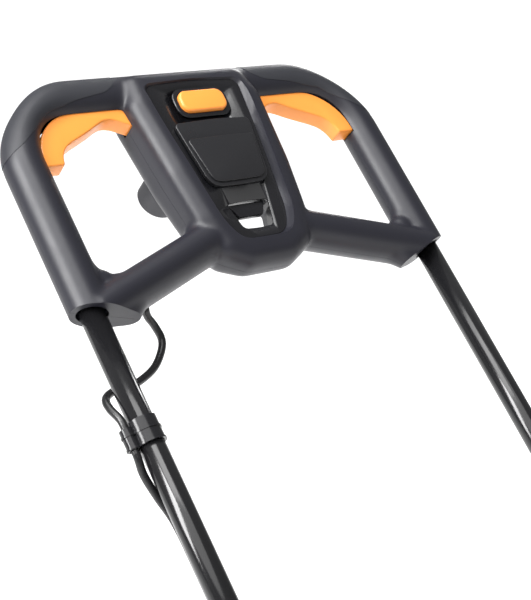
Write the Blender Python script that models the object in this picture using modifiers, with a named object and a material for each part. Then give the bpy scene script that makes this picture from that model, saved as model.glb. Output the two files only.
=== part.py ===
"""Corded electric push lawn mower, built as an assembly of separate pieces.

World frame: metres, +Z up, the mower drives towards -Y and the operator stands at +Y.
The handle is laid out flat in its own frame (x across, y up along the tubes, z out of the
control face) and an empty tilts that frame back to the handle angle.
"""
import math

import bmesh
import bpy
from mathutils import Matrix, Vector

# ---------------------------------------------------------------- driving dimensions
HANDLE_TILT = math.radians(44.5)  # tubes above the horizontal
LOWER_END = Vector((0.0, 0.175, 0.175))  # foot of the handle line, over the blade axis frame
FOLD_AT = 0.45  # fold bolt, measured up the handle line from its foot
HANDLE_RUN = 0.95  # foot of the line to the mouth of the handle housing
TUBE_R = 0.011
TUBE_WALL = 0.0015
UPPER_X = 0.192  # upper tube centre from the middle
LOWER_X = 0.162  # lower tube centre from the middle
GAP = 0.0003  # clearance between faces that touch

BAR_R = 0.0178  # housing legs and cross bars
CROSS_R = 0.0173  # cross bars between hub and legs
TOP_BAR_R = 0.0200  # thicker hand grip
SHELL = 0.003  # moulded wall
CORNER_R = 0.068  # bend of the housing's centre line
LEG_TOP = 0.142  # where the leg starts to bend
TOP_Y = LEG_TOP + CORNER_R
CROSS_INNER = Vector((0.050, 0.043))  # cross bar centre line, hub end
CROSS_OUTER = Vector((0.192, -0.006))  # and leg end
HUB_TOP = 0.214
HUB_EDGE = 0.016  # rounding of the hub's rim
HUB_HALF = 0.012  # flat half depth of the hub
HUB_Z = -0.003
PANEL_TILT = math.radians(2.9)
PANEL_AT = Vector((0.0, 0.118, 0.0240))

CUT_R = 0.160  # blade radius
DECK_X = 0.180
DECK_FRONT = -0.235
DECK_REAR = 0.235
DECK_TOP = 0.150
DECK_FOOT = 0.042
DECK_WALL = 0.004
FRONT_WHEEL_R = 0.070
REAR_WHEEL_R = 0.085
FRONT_AXLE_Y = -0.186
REAR_AXLE_Y = 0.190
WHEEL_X = 0.2045
WHEEL_W = 0.034
AXLE_R = 0.005
BLADE_Z = 0.054

HUB_BACK = (HANDLE_RUN + HUB_TOP) * math.cos(HANDLE_TILT) + (HUB_HALF - HUB_Z) * math.sin(HANDLE_TILT)
REAR_END = LOWER_END.y + HUB_BACK + HUB_EDGE
FRONT_END = FRONT_AXLE_Y - FRONT_WHEEL_R
CENTRE_SHIFT = -(REAR_END + FRONT_END) / 2  # puts the origin under the middle of the mower

# ---------------------------------------------------------------- scene, groups, finishes
for old in list(bpy.data.objects):
    bpy.data.objects.remove(old)

PARTS = bpy.data.collections.new("push_lawn_mower")
CUTTERS = bpy.data.collections.new("cutters")
for group in (PARTS, CUTTERS):
    bpy.context.scene.collection.children.link(group)


def finish(name, colour, roughness, metallic=0.0):
    """A plain Principled BSDF material."""
    made = bpy.data.materials.new(name)
    made.use_nodes = True
    shader = made.node_tree.nodes["Principled BSDF"]
    shader.inputs["Base Color"].default_value = (*colour, 1.0)
    shader.inputs["Roughness"].default_value = roughness
    shader.inputs["Metallic"].default_value = metallic
    return made


SATIN_BLACK = finish("satin_black_plastic", (0.022, 0.022, 0.026), 0.42)
GRIP_GREY = finish("soft_grip", (0.035, 0.036, 0.042), 0.62)
GLOSS_BLACK = finish("gloss_black_plastic", (0.010, 0.010, 0.012), 0.18)
ORANGE = finish("orange_plastic", (0.95, 0.24, 0.02), 0.36)
TUBE_PAINT = finish("tube_paint", (0.012, 0.012, 0.014), 0.20, 0.3)
CABLE_BLACK = finish("cable_sheath", (0.014, 0.014, 0.015), 0.38)
STEEL = finish("bright_steel", (0.60, 0.60, 0.62), 0.30, 1.0)
BRASS = finish("brass_contact", (0.80, 0.60, 0.28), 0.30, 1.0)
COPPER = finish("motor_windings", (0.55, 0.24, 0.10), 0.45, 0.8)
RUBBER = finish("tyre_rubber", (0.020, 0.020, 0.020), 0.80)
BLADE_STEEL = finish("blade_steel", (0.10, 0.10, 0.11), 0.40, 0.9)


def empty(name, location, tilt=0.0, parent=None):
    """A frame that pieces are laid out in."""
    frame = bpy.data.objects.new(name, None)
    bpy.context.scene.collection.objects.link(frame)
    frame.location = location
    frame.rotation_euler = (tilt, 0.0, 0.0)
    frame.parent = parent
    return frame


UP_LINE = Vector((0.0, math.cos(HANDLE_TILT), math.sin(HANDLE_TILT)))
MOWER = empty("mower_frame", (0.0, CENTRE_SHIFT, 0.0))
FOLD_Y = FOLD_AT - HANDLE_RUN  # the fold bolt in the handle's frame
FOLD = empty("fold_axis", LOWER_END + UP_LINE * FOLD_AT, HANDLE_TILT, MOWER)
HANDLE = empty("handle_frame", (0.0, -FOLD_Y, 0.0), 0.0, FOLD)
PANEL = empty("panel_frame", PANEL_AT, PANEL_TILT, HANDLE)
# the lower tubes stay with the deck, in a frame that lies on the handle's while it stands up
LOWER = empty("lower_tube_frame", LOWER_END + UP_LINE * HANDLE_RUN, HANDLE_TILT, MOWER)


# ---------------------------------------------------------------- modelling helpers
def place(obj, name, finish_of, frame, cutter=False):
    """Names an object, gives it a finish and a frame, and files it."""
    obj.name = name
    for group in list(obj.users_collection):
        group.objects.unlink(obj)
    (CUTTERS if cutter else PARTS).objects.link(obj)
    obj.parent = frame
    if obj.data is not None:
        obj.data.materials.clear()
        if finish_of is not None:
            obj.data.materials.append(finish_of)
    if cutter:
        obj.hide_render = True
        obj.display_type = "WIRE"
    return obj


def mesh_object(name, shape, finish_of, frame, cutter=False, smooth=True):
    """An object from a bmesh."""
    mesh = bpy.data.meshes.new(name)
    shape.to_mesh(mesh)
    shape.free()
    obj = bpy.data.objects.new(name, mesh)
    PARTS.objects.link(obj)
    if smooth:
        mesh.shade_smooth()
        mesh.set_sharp_from_angle(angle=math.radians(35))
    return place(obj, name, finish_of, frame, cutter)


def turn_to(axis):
    """Rotation that carries +Z onto an axis."""
    return Vector(axis).to_track_quat("Z", "Y").to_matrix().to_4x4()


def rod(name, radius, start, end, finish_of, frame, sides=16, cutter=False, end_radius=None):
    """A solid round bar, or a cone, between two points."""
    start, end = Vector(start), Vector(end)
    shape = bmesh.new()
    move = Matrix.Translation((start + end) / 2) @ turn_to(end - start)
    bmesh.ops.create_cone(
        shape, cap_ends=True, segments=sides, radius1=radius,
        radius2=radius if end_radius is None else end_radius, depth=(end - start).length, matrix=move)
    return mesh_object(name, shape, finish_of, frame, cutter)


def pipe(name, radius, wall, start, end, finish_of, frame, sides=16):
    """A round tube, open at both ends."""
    start, end = Vector(start), Vector(end)
    shape = bmesh.new()
    move = Matrix.Translation((start + end) / 2) @ turn_to(end - start)
    bmesh.ops.create_cone(
        shape, cap_ends=False, segments=sides, radius1=radius, radius2=radius,
        depth=(end - start).length, matrix=move)
    obj = mesh_object(name, shape, finish_of, frame)
    solidify(obj, wall)
    return obj


def solidify(obj, wall, offset=-1.0):
    """Gives an open surface a wall, inwards unless offset says otherwise."""
    thick = obj.modifiers.new("wall", "SOLIDIFY")
    thick.thickness = wall
    thick.offset = offset
    thick.use_even_offset = True


def block(name, size, centre, finish_of, frame, bevel=0.0, cutter=False, segments=2):
    """A rectangular block with rounded edges."""
    shape = bmesh.new()
    bmesh.ops.create_cube(shape, size=1.0)
    bmesh.ops.scale(shape, vec=size, verts=shape.verts)
    if bevel:
        bmesh.ops.bevel(shape, geom=shape.edges[:], offset=bevel, segments=segments,
                        profile=0.5, affect="EDGES", clamp_overlap=True, material=-1)
    bmesh.ops.translate(shape, vec=centre, verts=shape.verts)
    return mesh_object(name, shape, finish_of, frame, cutter)


def outline_curve(points, thickness, rounding=0.0, centre_z=0.0):
    """A filled 2D outline in x and y, made thick along z, as a curve object."""
    curve = bpy.data.curves.new("outline", "CURVE")
    curve.dimensions = "2D"
    curve.fill_mode = "BOTH"
    curve.extrude = thickness / 2 - rounding
    curve.bevel_depth = rounding
    curve.bevel_resolution = 1 if rounding < 0.004 else 2
    curve.resolution_u = 1
    spline = curve.splines.new("POLY")
    spline.points.add(len(points) - 1)
    for point, (x, y) in zip(spline.points, points):
        point.co = (x, y, 0.0, 1.0)
    spline.use_cyclic_u = True
    obj = bpy.data.objects.new("outline", curve)
    obj.location.z = centre_z
    bpy.context.scene.collection.objects.link(obj)
    return obj


def to_mesh(obj, name, finish_of, frame, cutter=False):
    """Turns a curve object into a closed mesh object in a frame."""
    bpy.context.view_layer.update()
    graph = bpy.context.evaluated_depsgraph_get()
    mesh = bpy.data.meshes.new_from_object(obj.evaluated_get(graph))
    mesh.transform(obj.matrix_world)
    shape = bmesh.new()
    shape.from_mesh(mesh)
    bmesh.ops.remove_doubles(shape, verts=shape.verts, dist=0.00002)
    bmesh.ops.dissolve_degenerate(shape, edges=shape.edges, dist=0.00001)
    bmesh.ops.recalc_face_normals(shape, faces=shape.faces)
    bpy.data.objects.remove(obj)
    bpy.data.meshes.remove(mesh)
    return mesh_object(name, shape, finish_of, frame, cutter)


def plate(name, points, thickness, centre_z, finish_of, frame, rounding=0.0, cutter=False):
    """A flat piece cut to an outline."""
    curve = outline_curve(points, thickness, rounding, centre_z)
    return to_mesh(curve, name, finish_of, frame, cutter)


def swept(name, points, radius, finish_of, frame, resolution=4, swell=None, cutter=False):
    """A round bar along points; swell scales the radius at each point."""
    curve = bpy.data.curves.new(name, "CURVE")
    curve.dimensions = "3D"
    curve.bevel_depth = radius
    curve.bevel_resolution = resolution
    curve.use_fill_caps = True
    curve.resolution_u = 1
    spline = curve.splines.new("POLY")
    spline.points.add(len(points) - 1)
    for index, (point, at) in enumerate(zip(spline.points, points)):
        point.co = (*at, 1.0)
        point.radius = 1.0 if swell is None else swell[index]
    obj = bpy.data.objects.new(name, curve)
    bpy.context.scene.collection.objects.link(obj)
    return to_mesh(obj, name, finish_of, frame, cutter)


def boolean(target, other, operation="DIFFERENCE"):
    """A live Boolean between two pieces."""
    step = target.modifiers.new(operation.lower(), "BOOLEAN")
    step.operation = operation
    step.object = other
    step.solver = "EXACT"


def turned(name, profile, finish_of, frame, location, steps=24, axis=(0, 0, 1)):
    """A closed profile of radius and height turned about an axis, its faces pointing outwards."""
    area = sum(a[0] * b[1] - b[0] * a[1] for a, b in zip(profile, profile[1:] + profile[:1]))
    if area > 0.0:
        profile = profile[::-1]
    pairs = [(k, (k + 1) % len(profile)) for k in range(len(profile))]
    edges = [(a, b) for a, b in pairs if profile[a][0] > 1e-6 or profile[b][0] > 1e-6]
    mesh = bpy.data.meshes.new(name)
    mesh.from_pydata([(radius, 0.0, height) for radius, height in profile], edges, [])
    obj = bpy.data.objects.new(name, mesh)
    place(obj, name, finish_of, frame)
    screw = obj.modifiers.new("turning", "SCREW")
    screw.steps = screw.render_steps = steps
    screw.use_merge_vertices = True
    screw.merge_threshold = 0.00001
    obj.location = location
    obj.rotation_euler = turn_to(axis).to_euler()
    return obj


def mirrored(points):
    """An outline given for +x, closed by its mirror image."""
    return points + [(-x, y) for x, y in reversed(points) if x > 1e-6]


def smooth_path(points, spacing):
    """Points at an even spacing along a smooth curve through the given ones."""
    padded = [2 * points[0] - points[1]] + list(points) + [2 * points[-1] - points[-2]]
    dense = []
    for a, b, c, d in zip(padded, padded[1:], padded[2:], padded[3:]):
        for step in range(40):
            t = step / 40
            dense.append(0.5 * ((2 * b) + (c - a) * t + (2 * a - 5 * b + 4 * c - d) * t * t
                                + (3 * b - 3 * c + d - a) * t ** 3))
    dense.append(points[-1])
    length = sum((after - before).length for before, after in zip(dense, dense[1:]))
    step_length = length / round(length / spacing)
    kept, run = [dense[0]], 0.0
    for before, after in zip(dense, dense[1:]):
        run += (after - before).length
        if run >= step_length * len(kept):
            kept.append(after)
    if (kept[-1] - dense[-1]).length < step_length / 2:
        kept.pop()
    return kept + [dense[-1]]


def coil(name, radius, wire, start, end, turns, finish_of, frame, points_per_turn=8):
    """A helical spring between two points."""
    start, end = Vector(start), Vector(end)
    turn = turn_to(end - start)
    count = int(turns * points_per_turn)
    path = []
    for index in range(count + 1):
        angle = 2 * math.pi * index / points_per_turn
        local = Vector((radius * math.cos(angle), radius * math.sin(angle),
                        (end - start).length * index / count))
        path.append(start + turn.to_3x3() @ local)
    return swept(name, path, wire, finish_of, frame, resolution=0)


# ---------------------------------------------------------------- handle housing
def loop_path(leg_foot):
    """Centre line of the housing's outer loop, foot to foot."""
    corner = [(UPPER_X - CORNER_R + CORNER_R * math.cos(a), LEG_TOP + CORNER_R * math.sin(a))
              for a in (math.pi / 2 * k / 6 for k in range(7))]
    right = [(UPPER_X, leg_foot), (UPPER_X, LEG_TOP * 0.8)] + corner
    swell = [1.0, 1.0] + [1.0 + (TOP_BAR_R / BAR_R - 1.0) * k / 6 for k in range(7)]
    left = [(-x, y) for x, y in reversed(right)]
    points = [Vector((x, y, 0.0)) for x, y in right + left]
    return points, swell + swell[::-1]


HUB_OUTLINE = mirrored([
    (0.057, HUB_TOP), (0.060, 0.190), (0.053, 0.110), (0.047, 0.060), (0.038, 0.030),
    (0.024, 0.019), (0.0, 0.016)])


def housing_solid(label, inset, leg_foot, cross_end):
    """The housing's full outside shape, or, with an inset, the space inside it."""
    path, swell = loop_path(leg_foot)
    body = swept(label + "_loop", path, BAR_R - inset, None, HANDLE, 3, swell, cutter=True)
    hub = plate(label + "_hub", HUB_OUTLINE, 2 * (HUB_HALF + HUB_EDGE - inset), HUB_Z, None, HANDLE,
                rounding=HUB_EDGE - inset, cutter=True)
    boolean(body, hub, "UNION")
    for side in (-1, 1):
        a = Vector((side * CROSS_INNER.x, CROSS_INNER.y, 0.0))
        b = Vector((side * CROSS_OUTER.x, CROSS_OUTER.y, 0.0))
        bar = rod(f"{label}_bar_{side}", CROSS_R - inset, a, a.lerp(b, cross_end), None, HANDLE, 18, True)
        boolean(body, bar, "UNION")
    return body


OUTER = housing_solid("outer", 0.0, -0.030, 0.96)
INNER = housing_solid("inner", SHELL, 0.004, 0.70)

# solid posts left inside the shells for the screws and the lever pins
SCREW_SPOTS = ((UPPER_X, 0.078), (0.085, 0.0309), (0.034, 0.046))
SCREWS = [(side * x, y) for side in (-1, 1) for x, y in SCREW_SPOTS]
LEVER_PIVOT = Vector((0.0660, 0.186))
for index, (x, y) in enumerate(SCREWS):
    post = rod(f"post_{index}", 0.0046, (x, y, -0.04), (x, y, 0.04), None, HANDLE, 14, cutter=True)
    boolean(INNER, post)
for side in (-1, 1):
    x, y = side * LEVER_PIVOT.x, LEVER_PIVOT.y
    pin_post = rod(f"pin_post_{side}", 0.0052, (x, y, -0.04), (x, y, 0.04), None, HANDLE, 14, cutter=True)
    boolean(INNER, pin_post)

# the foot of each leg is cut off on a slant, outer side higher
MOUTH_SLOPE = math.atan(0.226)
MOUTH_CUTS = []
for side in (-1, 1):
    cut = block(f"mouth_cut_{side}", (0.16, 0.08, 0.10), (0.0, -0.04, 0.0), None, HANDLE, cutter=True)
    cut.location = (side * UPPER_X, -0.005, 0.0)
    cut.rotation_euler = (0.0, 0.0, side * MOUTH_SLOPE)
    MOUTH_CUTS.append(cut)

# switch levers follow the inside of each loop, round the corner
LEVER_HALF = 0.0085  # half thickness
LEVER_OUTER_R = 0.054
LEVER_CENTRE = Vector((0.124, 0.142))


def lever_outline(side, outer_r, leg_end, hub_end, inner_shift):
    """Plan of a lever: inner face as held by the fingers, outer edge hidden in the housing."""
    outer = [(LEVER_CENTRE.x + outer_r * math.cos(a), LEVER_CENTRE.y + outer_r * math.sin(a))
             for a in (math.pi / 2 * k / 6 for k in range(7))]
    outer = [(LEVER_CENTRE.x + outer_r, leg_end)] + outer + [(hub_end, LEVER_CENTRE.y + outer_r - 0.002)]
    inner = [(hub_end, 0.178), (0.073, 0.173), (0.092, 0.1815), (0.101, 0.1815), (0.116, 0.174),
             (0.141, 0.161), (0.153, 0.151), (0.158, 0.139)]
    inner = [(x - inner_shift * 0.7, y - inner_shift * 0.7) for x, y in inner[:-1]]
    inner.append((0.158 - inner_shift, leg_end))
    return [(side * x, y) for x, y in outer + inner]


LEVER_CUTS = []
for side, hand in ((-1, "right"), (1, "left")):
    lever = plate(f"switch_lever_{hand}", lever_outline(side, LEVER_OUTER_R, 0.139, 0.0600, 0.0),
                  2 * LEVER_HALF, 0.0, ORANGE, HANDLE)
    hole = rod(f"lever_hole_{hand}", 0.0030, (side * LEVER_PIVOT.x, LEVER_PIVOT.y, -0.02),
               (side * LEVER_PIVOT.x, LEVER_PIVOT.y, 0.02), None, HANDLE, 12, cutter=True)
    boolean(lever, hole)
    slot_outline = lever_outline(side, LEVER_OUTER_R + 0.010, 0.137, 0.058, 0.004)
    slot = plate(f"lever_slot_{hand}", slot_outline, 2 * LEVER_HALF + 0.001, 0.0, None, HANDLE, cutter=True)
    pin_hole = rod(f"pin_hole_{hand}", 0.0030, (side * LEVER_PIVOT.x, LEVER_PIVOT.y, -0.0185),
                   (side * LEVER_PIVOT.x, LEVER_PIVOT.y, 0.0165), None, HANDLE, 12, cutter=True)
    LEVER_CUTS += [slot, pin_hole]
    rod(f"lever_pin_{hand}", 0.0027, (side * LEVER_PIVOT.x, LEVER_PIVOT.y, -0.0180),
        (side * LEVER_PIVOT.x, LEVER_PIVOT.y, 0.0160), STEEL, HANDLE, 12)
    coil(f"lever_spring_{hand}", 0.0032, 0.0005, (side * 0.100, 0.1968, 0.0), (side * 0.100, 0.2250, 0.0),
         4, STEEL, HANDLE)

# control face: recess, button opening and the window that a lead is looped through
PANEL_OUTLINE = mirrored([
    (0.0, 0.093), (0.036, 0.091), (0.050, 0.086), (0.058, 0.070), (0.056, 0.052),
    (0.047, -0.010), (0.034, -0.078), (0.022, -0.087), (0.0, -0.089)])
WINDOW = (0.0, -0.064)  # centre of the lead window on the panel
WINDOW_SIZE = (0.034, 0.028)
BUTTON = (0.0, 0.062)
BUTTON_SIZE = (0.051, 0.0235)


def scaled(points, margin, centre=(0.0, 0.0)):
    """An outline moved out, or in, by a margin from its centre."""
    moved = []
    for x, y in points:
        away = Vector((x - centre[0], y - centre[1]))
        away += away.normalized() * margin
        moved.append((centre[0] + away.x, centre[1] + away.y))
    return moved


def rounded_rect(centre, size, radius, steps=3):
    """Corner-rounded rectangle outline."""
    points = []
    for k, (sx, sy) in enumerate(((1, 1), (-1, 1), (-1, -1), (1, -1))):
        cx, cy = centre[0] + sx * (size[0] / 2 - radius), centre[1] + sy * (size[1] / 2 - radius)
        for step in range(steps + 1):
            angle = math.pi / 2 * (k + step / steps)
            points.append((cx + radius * math.cos(angle), cy + radius * math.sin(angle)))
    return points


PANEL_CUT = plate("panel_cut", scaled(PANEL_OUTLINE, GAP), 0.040, 0.012, None, PANEL, cutter=True)
WINDOW_EDGE = rounded_rect(WINDOW, (WINDOW_SIZE[0] + 2 * GAP, WINDOW_SIZE[1] + 2 * GAP), 0.003)
WINDOW_CUT = plate("window_cut", WINDOW_EDGE, 0.080, -0.060, None, PANEL, cutter=True)
BUTTON_EDGE = rounded_rect(BUTTON, (BUTTON_SIZE[0] + 0.001, BUTTON_SIZE[1] + 0.001), 0.009)
BUTTON_CUT = plate("button_cut", BUTTON_EDGE, 0.040, 0.0, None, PANEL, cutter=True)
PANEL_Z = -0.0060

panel = plate("control_panel", PANEL_OUTLINE, 0.0025, PANEL_Z, GLOSS_BLACK, PANEL)
panel_window = plate("panel_window", WINDOW_EDGE, 0.020, PANEL_Z, None, PANEL, cutter=True)
boolean(panel, panel_window)
boolean(panel, BUTTON_CUT)

PANEL_FACE = PANEL_Z + 0.00125 + GAP  # where pieces stand on the panel
cover_outline = mirrored([
    (0.0, 0.0415), (0.036, 0.0407), (0.0425, 0.035), (0.0350, -0.024), (0.029, -0.0310), (0.0, -0.0315)])
plate("panel_cover", cover_outline, 0.0060, PANEL_FACE + 0.0030, SATIN_BLACK, PANEL, rounding=0.001)

bezel_outline = rounded_rect(BUTTON, (0.060, 0.031), 0.012)
bezel = plate("button_bezel", bezel_outline, 0.0022, PANEL_FACE + 0.0011, GLOSS_BLACK, PANEL)
boolean(bezel, BUTTON_CUT)

BUTTON_ROUND = 0.003
button_core = (BUTTON_SIZE[0] - 2 * BUTTON_ROUND, BUTTON_SIZE[1] - 2 * BUTTON_ROUND)
button_plan = rounded_rect(BUTTON, button_core, 0.006)
button = plate("start_button", button_plan, 0.0130, PANEL_Z + 0.0035, ORANGE, PANEL, rounding=BUTTON_ROUND)
coil("button_spring", 0.0050, 0.0005, (*BUTTON, PANEL_Z - 0.0215), (*BUTTON, PANEL_Z - 0.0038), 4,
     STEEL, PANEL)

# window funnel with the tongue that a lead is looped over
funnel = plate("lead_hook", rounded_rect(WINDOW, WINDOW_SIZE, 0.003), 0.047, -0.0270, GLOSS_BLACK, PANEL)
funnel_space = block("funnel_space", (WINDOW_SIZE[0] - 0.003, WINDOW_SIZE[1] - 0.003, 0.080),
                     (*WINDOW, -0.0270), None, PANEL, cutter=True)
tongue_y = WINDOW[1] + WINDOW_SIZE[1] / 2 - 0.0060
tongue = block("tongue", (0.027, 0.011, 0.0030), (0.0, tongue_y, -0.0120), None, PANEL, cutter=True)
boolean(funnel, funnel_space)
boolean(funnel, tongue, "UNION")

# mains inlet behind the control face
INLET_AT = Vector((-0.038, 0.129, 0.0))
INLET_R = 0.021
INLET_END = -0.057
inlet_profile = [
    (INLET_R, -0.0285), (INLET_R, INLET_END), (INLET_R - 0.002, INLET_END - 0.0015),
    (INLET_R - 0.003, INLET_END), (INLET_R - 0.003, -0.034), (0.0, -0.034), (0.0, -0.0285)]
turned("mains_inlet", inlet_profile, SATIN_BLACK, HANDLE, INLET_AT, steps=20)
contacts = block("inlet_contacts", (0.0220, 0.0080, 0.0020), (INLET_AT.x, INLET_AT.y, -0.0355), BRASS,
                 HANDLE)
for side in (-1, 1):
    prong = block(f"prong_{side}", (0.0045, 0.0015, 0.0140),
                  (INLET_AT.x + side * 0.007, INLET_AT.y, -0.0430), None, HANDLE, cutter=True)
    boolean(contacts, prong, "UNION")
INLET_HOLE = rod("inlet_hole", INLET_R + GAP, (INLET_AT.x, INLET_AT.y, -0.06),
                 (INLET_AT.x, INLET_AT.y, -0.010), None, HANDLE, 20, cutter=True)

# holes for screws driven up from below into posts in the upper shell
SCREW_HOLES = []
for index, (x, y) in enumerate(SCREWS):
    thread = rod(f"screw_hole_{index}", 0.0018, (x, y, -0.04), (x, y, 0.0085), None, HANDLE, 12, True)
    head = rod(f"head_hole_{index}", 0.0036, (x, y, -0.05), (x, y, -0.0060), None, HANDLE, 14, True)
    SCREW_HOLES += [thread, head]

# the two moulded shells, split on the handle's middle plane
upper = block("handle_upper_shell", (0.46, 0.32, 0.06), (0.0, 0.10, 0.03 + GAP / 2), SATIN_BLACK, HANDLE)
lower = block("handle_lower_shell", (0.46, 0.32, 0.06), (0.0, 0.10, -0.03 - GAP / 2), SATIN_BLACK, HANDLE)
TUBE_HOLES = []
for side in (-1, 1):
    TUBE_HOLES.append(rod(f"tube_hole_{side}", TUBE_R + GAP, (side * UPPER_X, -0.05, 0.0),
                          (side * UPPER_X, 0.01, 0.0), None, HANDLE, 20, cutter=True))
for shell in (upper, lower):
    boolean(shell, OUTER, "INTERSECT")
    boolean(shell, INNER)
    for cut in MOUTH_CUTS + LEVER_CUTS + TUBE_HOLES + SCREW_HOLES:
        boolean(shell, cut)
boolean(upper, PANEL_CUT)
boolean(lower, WINDOW_CUT)
boolean(lower, INLET_HOLE)

# soft corner grips over the outside of each bend
GRIP_GAP, GRIP_SKIN = 0.0003, 0.0015
path, swell = loop_path(0.10)
for side, hand in ((-1, "right"), (1, "left")):
    if side > 0:
        half = [p for p in path if p.x > 0.0] + [Vector((0.060, TOP_Y, 0.0))]
    else:
        half = [Vector((-0.060, TOP_Y, 0.0))] + [p for p in path if p.x < 0.0]
    widths = [1.0 + (TOP_BAR_R / BAR_R - 1.0) * min(max((p.y - LEG_TOP) / CORNER_R, 0.0), 1.0) for p in half]
    skin_r = BAR_R + GRIP_GAP + GRIP_SKIN
    grip = swept(f"corner_grip_{hand}", half, skin_r, GRIP_GREY, HANDLE, 3, widths)
    core = swept(f"grip_core_{hand}", half, BAR_R + GRIP_GAP, None, HANDLE, 3, widths, cutter=True)
    seam = [(0.078, 0.250), (0.078, 0.222), (0.083, 0.212), (0.093, 0.206), (0.124, 0.202), (0.150, 0.196),
            (0.167, 0.182), (0.178, 0.166), (0.190, 0.157), (0.226, 0.148), (0.250, 0.148), (0.250, 0.250)]
    seam = [(side * x, y) for x, y in seam]
    region = plate(f"grip_region_{hand}", seam, 0.060, 0.0, None, HANDLE, cutter=True)
    boolean(grip, region, "INTERSECT")
    boolean(grip, core)

# inside the hub
block("switch_module", (0.060, 0.050, 0.020), (0.0, 0.158, -0.013), CABLE_BLACK, HANDLE, 0.002, segments=1)


# ---------------------------------------------------------------- tubes and the fold
# the bolts pass through both pairs of tubes, so one cutter serves the upper and the lower ones
FOLD_HOLE = rod("fold_hole", 0.0034, (-0.3, FOLD_Y, 0.0), (0.3, FOLD_Y, 0.0), None, HANDLE, 14,
                cutter=True)
FOOT_SCREW_Y = 0.030 - HANDLE_RUN
FOOT_HOLE = rod("foot_hole", 0.0024, (-0.3, FOOT_SCREW_Y, 0.0), (0.3, FOOT_SCREW_Y, 0.0), None, HANDLE,
                12, cutter=True)
for side, hand in ((-1, "right"), (1, "left")):
    upper_tube = pipe(f"upper_tube_{hand}", TUBE_R, TUBE_WALL, (side * UPPER_X, FOLD_Y - 0.028, 0.0),
                      (side * UPPER_X, 0.055, 0.0), TUBE_PAINT, HANDLE)
    boolean(upper_tube, FOLD_HOLE)
    lower_tube = pipe(f"lower_tube_{hand}", TUBE_R, TUBE_WALL, (side * LOWER_X, -HANDLE_RUN, 0.0),
                      (side * LOWER_X, FOLD_Y + 0.024, 0.0), TUBE_PAINT, LOWER)
    boolean(lower_tube, FOLD_HOLE)
    boolean(lower_tube, FOOT_HOLE)
    # a moulded saddle cups the lower tube and gives the upper tube a flat face to turn against
    inner_x, outer_x = LOWER_X + 0.004, UPPER_X - TUBE_R - GAP
    spacer = block(f"fold_spacer_{hand}", (outer_x - inner_x, 0.018, 0.018),
                   (side * (inner_x + outer_x) / 2, FOLD_Y, 0.0), SATIN_BLACK, LOWER, 0.001, segments=1)
    saddle = rod(f"saddle_{hand}", TUBE_R + GAP, (side * LOWER_X, FOLD_Y - 0.05, 0.0),
                 (side * LOWER_X, FOLD_Y + 0.05, 0.0), None, HANDLE, 16, cutter=True)
    boolean(spacer, saddle)
    boolean(spacer, FOLD_HOLE)
    head_x = LOWER_X - TUBE_R - GAP
    length = 0.2185 - head_x
    turned(f"fold_bolt_{hand}",
           [(0.0, -0.0035), (0.0045, -0.0030), (0.0065, -0.0012), (0.0065, 0.0), (0.0030, 0.0),
            (0.0030, length), (0.0, length)], STEEL, LOWER, (side * head_x, FOLD_Y, 0.0), 16, (side, 0, 0))
    # wing knob on the outer end of the bolt
    face_x = UPPER_X + TUBE_R + GAP
    knob_profile = [(0.0033, 0.0), (0.0033, 0.0165), (0.0, 0.0165), (0.0, 0.0240), (0.0080, 0.0240),
                    (0.0105, 0.0215), (0.0120, 0.0)]
    knob = turned(f"wing_knob_{hand}", knob_profile, SATIN_BLACK, HANDLE, (side * face_x, FOLD_Y, 0.0), 14,
                  (side, 0, 0))
    wings = block(f"wings_{hand}", (0.0150, 0.0600, 0.0072), (side * 0.0135, 0.0, 0.0), None, HANDLE,
                  0.0022, cutter=True)
    wings.location = (side * face_x, FOLD_Y, 0.0)
    wing_bore = rod(f"wing_bore_{hand}", 0.0033, (0.0, 0.0, 0.0), (side * 0.0165, 0.0, 0.0), None, HANDLE,
                    20, cutter=True)
    wing_bore.location = (side * face_x, FOLD_Y, 0.0)
    boolean(wings, wing_bore)
    boolean(knob, wings, "UNION")

# ---------------------------------------------------------------- motor lead and its clips
CABLE_R = 0.0035
LEAD_X = -UPPER_X - 0.0155
to_handle = LOWER.matrix_basis.inverted()  # from the mower's frame
upper_run = [Vector(p) for p in (
    (-0.1305, 0.0115, -0.0060), (-0.1330, 0.0040, -0.0070), (-0.1352, -0.0040, -0.0100),
    (-0.1330, -0.0095, -0.0155), (-0.1270, -0.0160, -0.0210), (-0.1228, -0.0279, -0.0260),
    (-0.1278, -0.0389, -0.0280), (-0.1412, -0.0519, -0.0280), (-0.1606, -0.0613, -0.0260),
    (-0.1779, -0.0660, -0.0220), (-0.1940, -0.0685, -0.0180), (-0.2050, -0.0750, -0.0140),
    (-0.2085, -0.0860, -0.0085),
    (LEAD_X, -0.101, -0.0018), (LEAD_X, -0.117, -0.0018), (LEAD_X, -0.133, -0.0018),
    (-0.2052, -0.147, -0.0085), (-0.1985, -0.166, -0.0145), (-0.1930, -0.19, -0.0155),
    (-UPPER_X, -0.23, -0.0155),
    (-UPPER_X, -0.30, -0.0155), (-UPPER_X, -0.38, -0.0155), (-UPPER_X, -0.44, -0.0155),
    (-0.1850, -0.470, -0.0164), (-0.1770, FOLD_Y + 0.010, -0.0172),
    (-0.1770, FOLD_Y + 0.004, -0.0172), (-0.1770, FOLD_Y, -0.0172))]
lower_run = [Vector(p) for p in (
    (-0.1770, FOLD_Y, -0.0172), (-0.1770, FOLD_Y - 0.004, -0.0172), (-0.1770, FOLD_Y - 0.010, -0.0172),
    (-0.1700, -0.540, -0.0165), (-0.1630, -0.575, -0.0155), (-LOWER_X, -0.61, -0.0155),
    (-LOWER_X, -0.66, -0.0155), (-LOWER_X, -0.71, -0.0155), (-LOWER_X, -0.76, -0.0155),
    (-0.1590, -0.795, -0.0160), (-0.1490, -0.830, -0.0110), (-0.1460, -0.855, -0.0010))]
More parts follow.
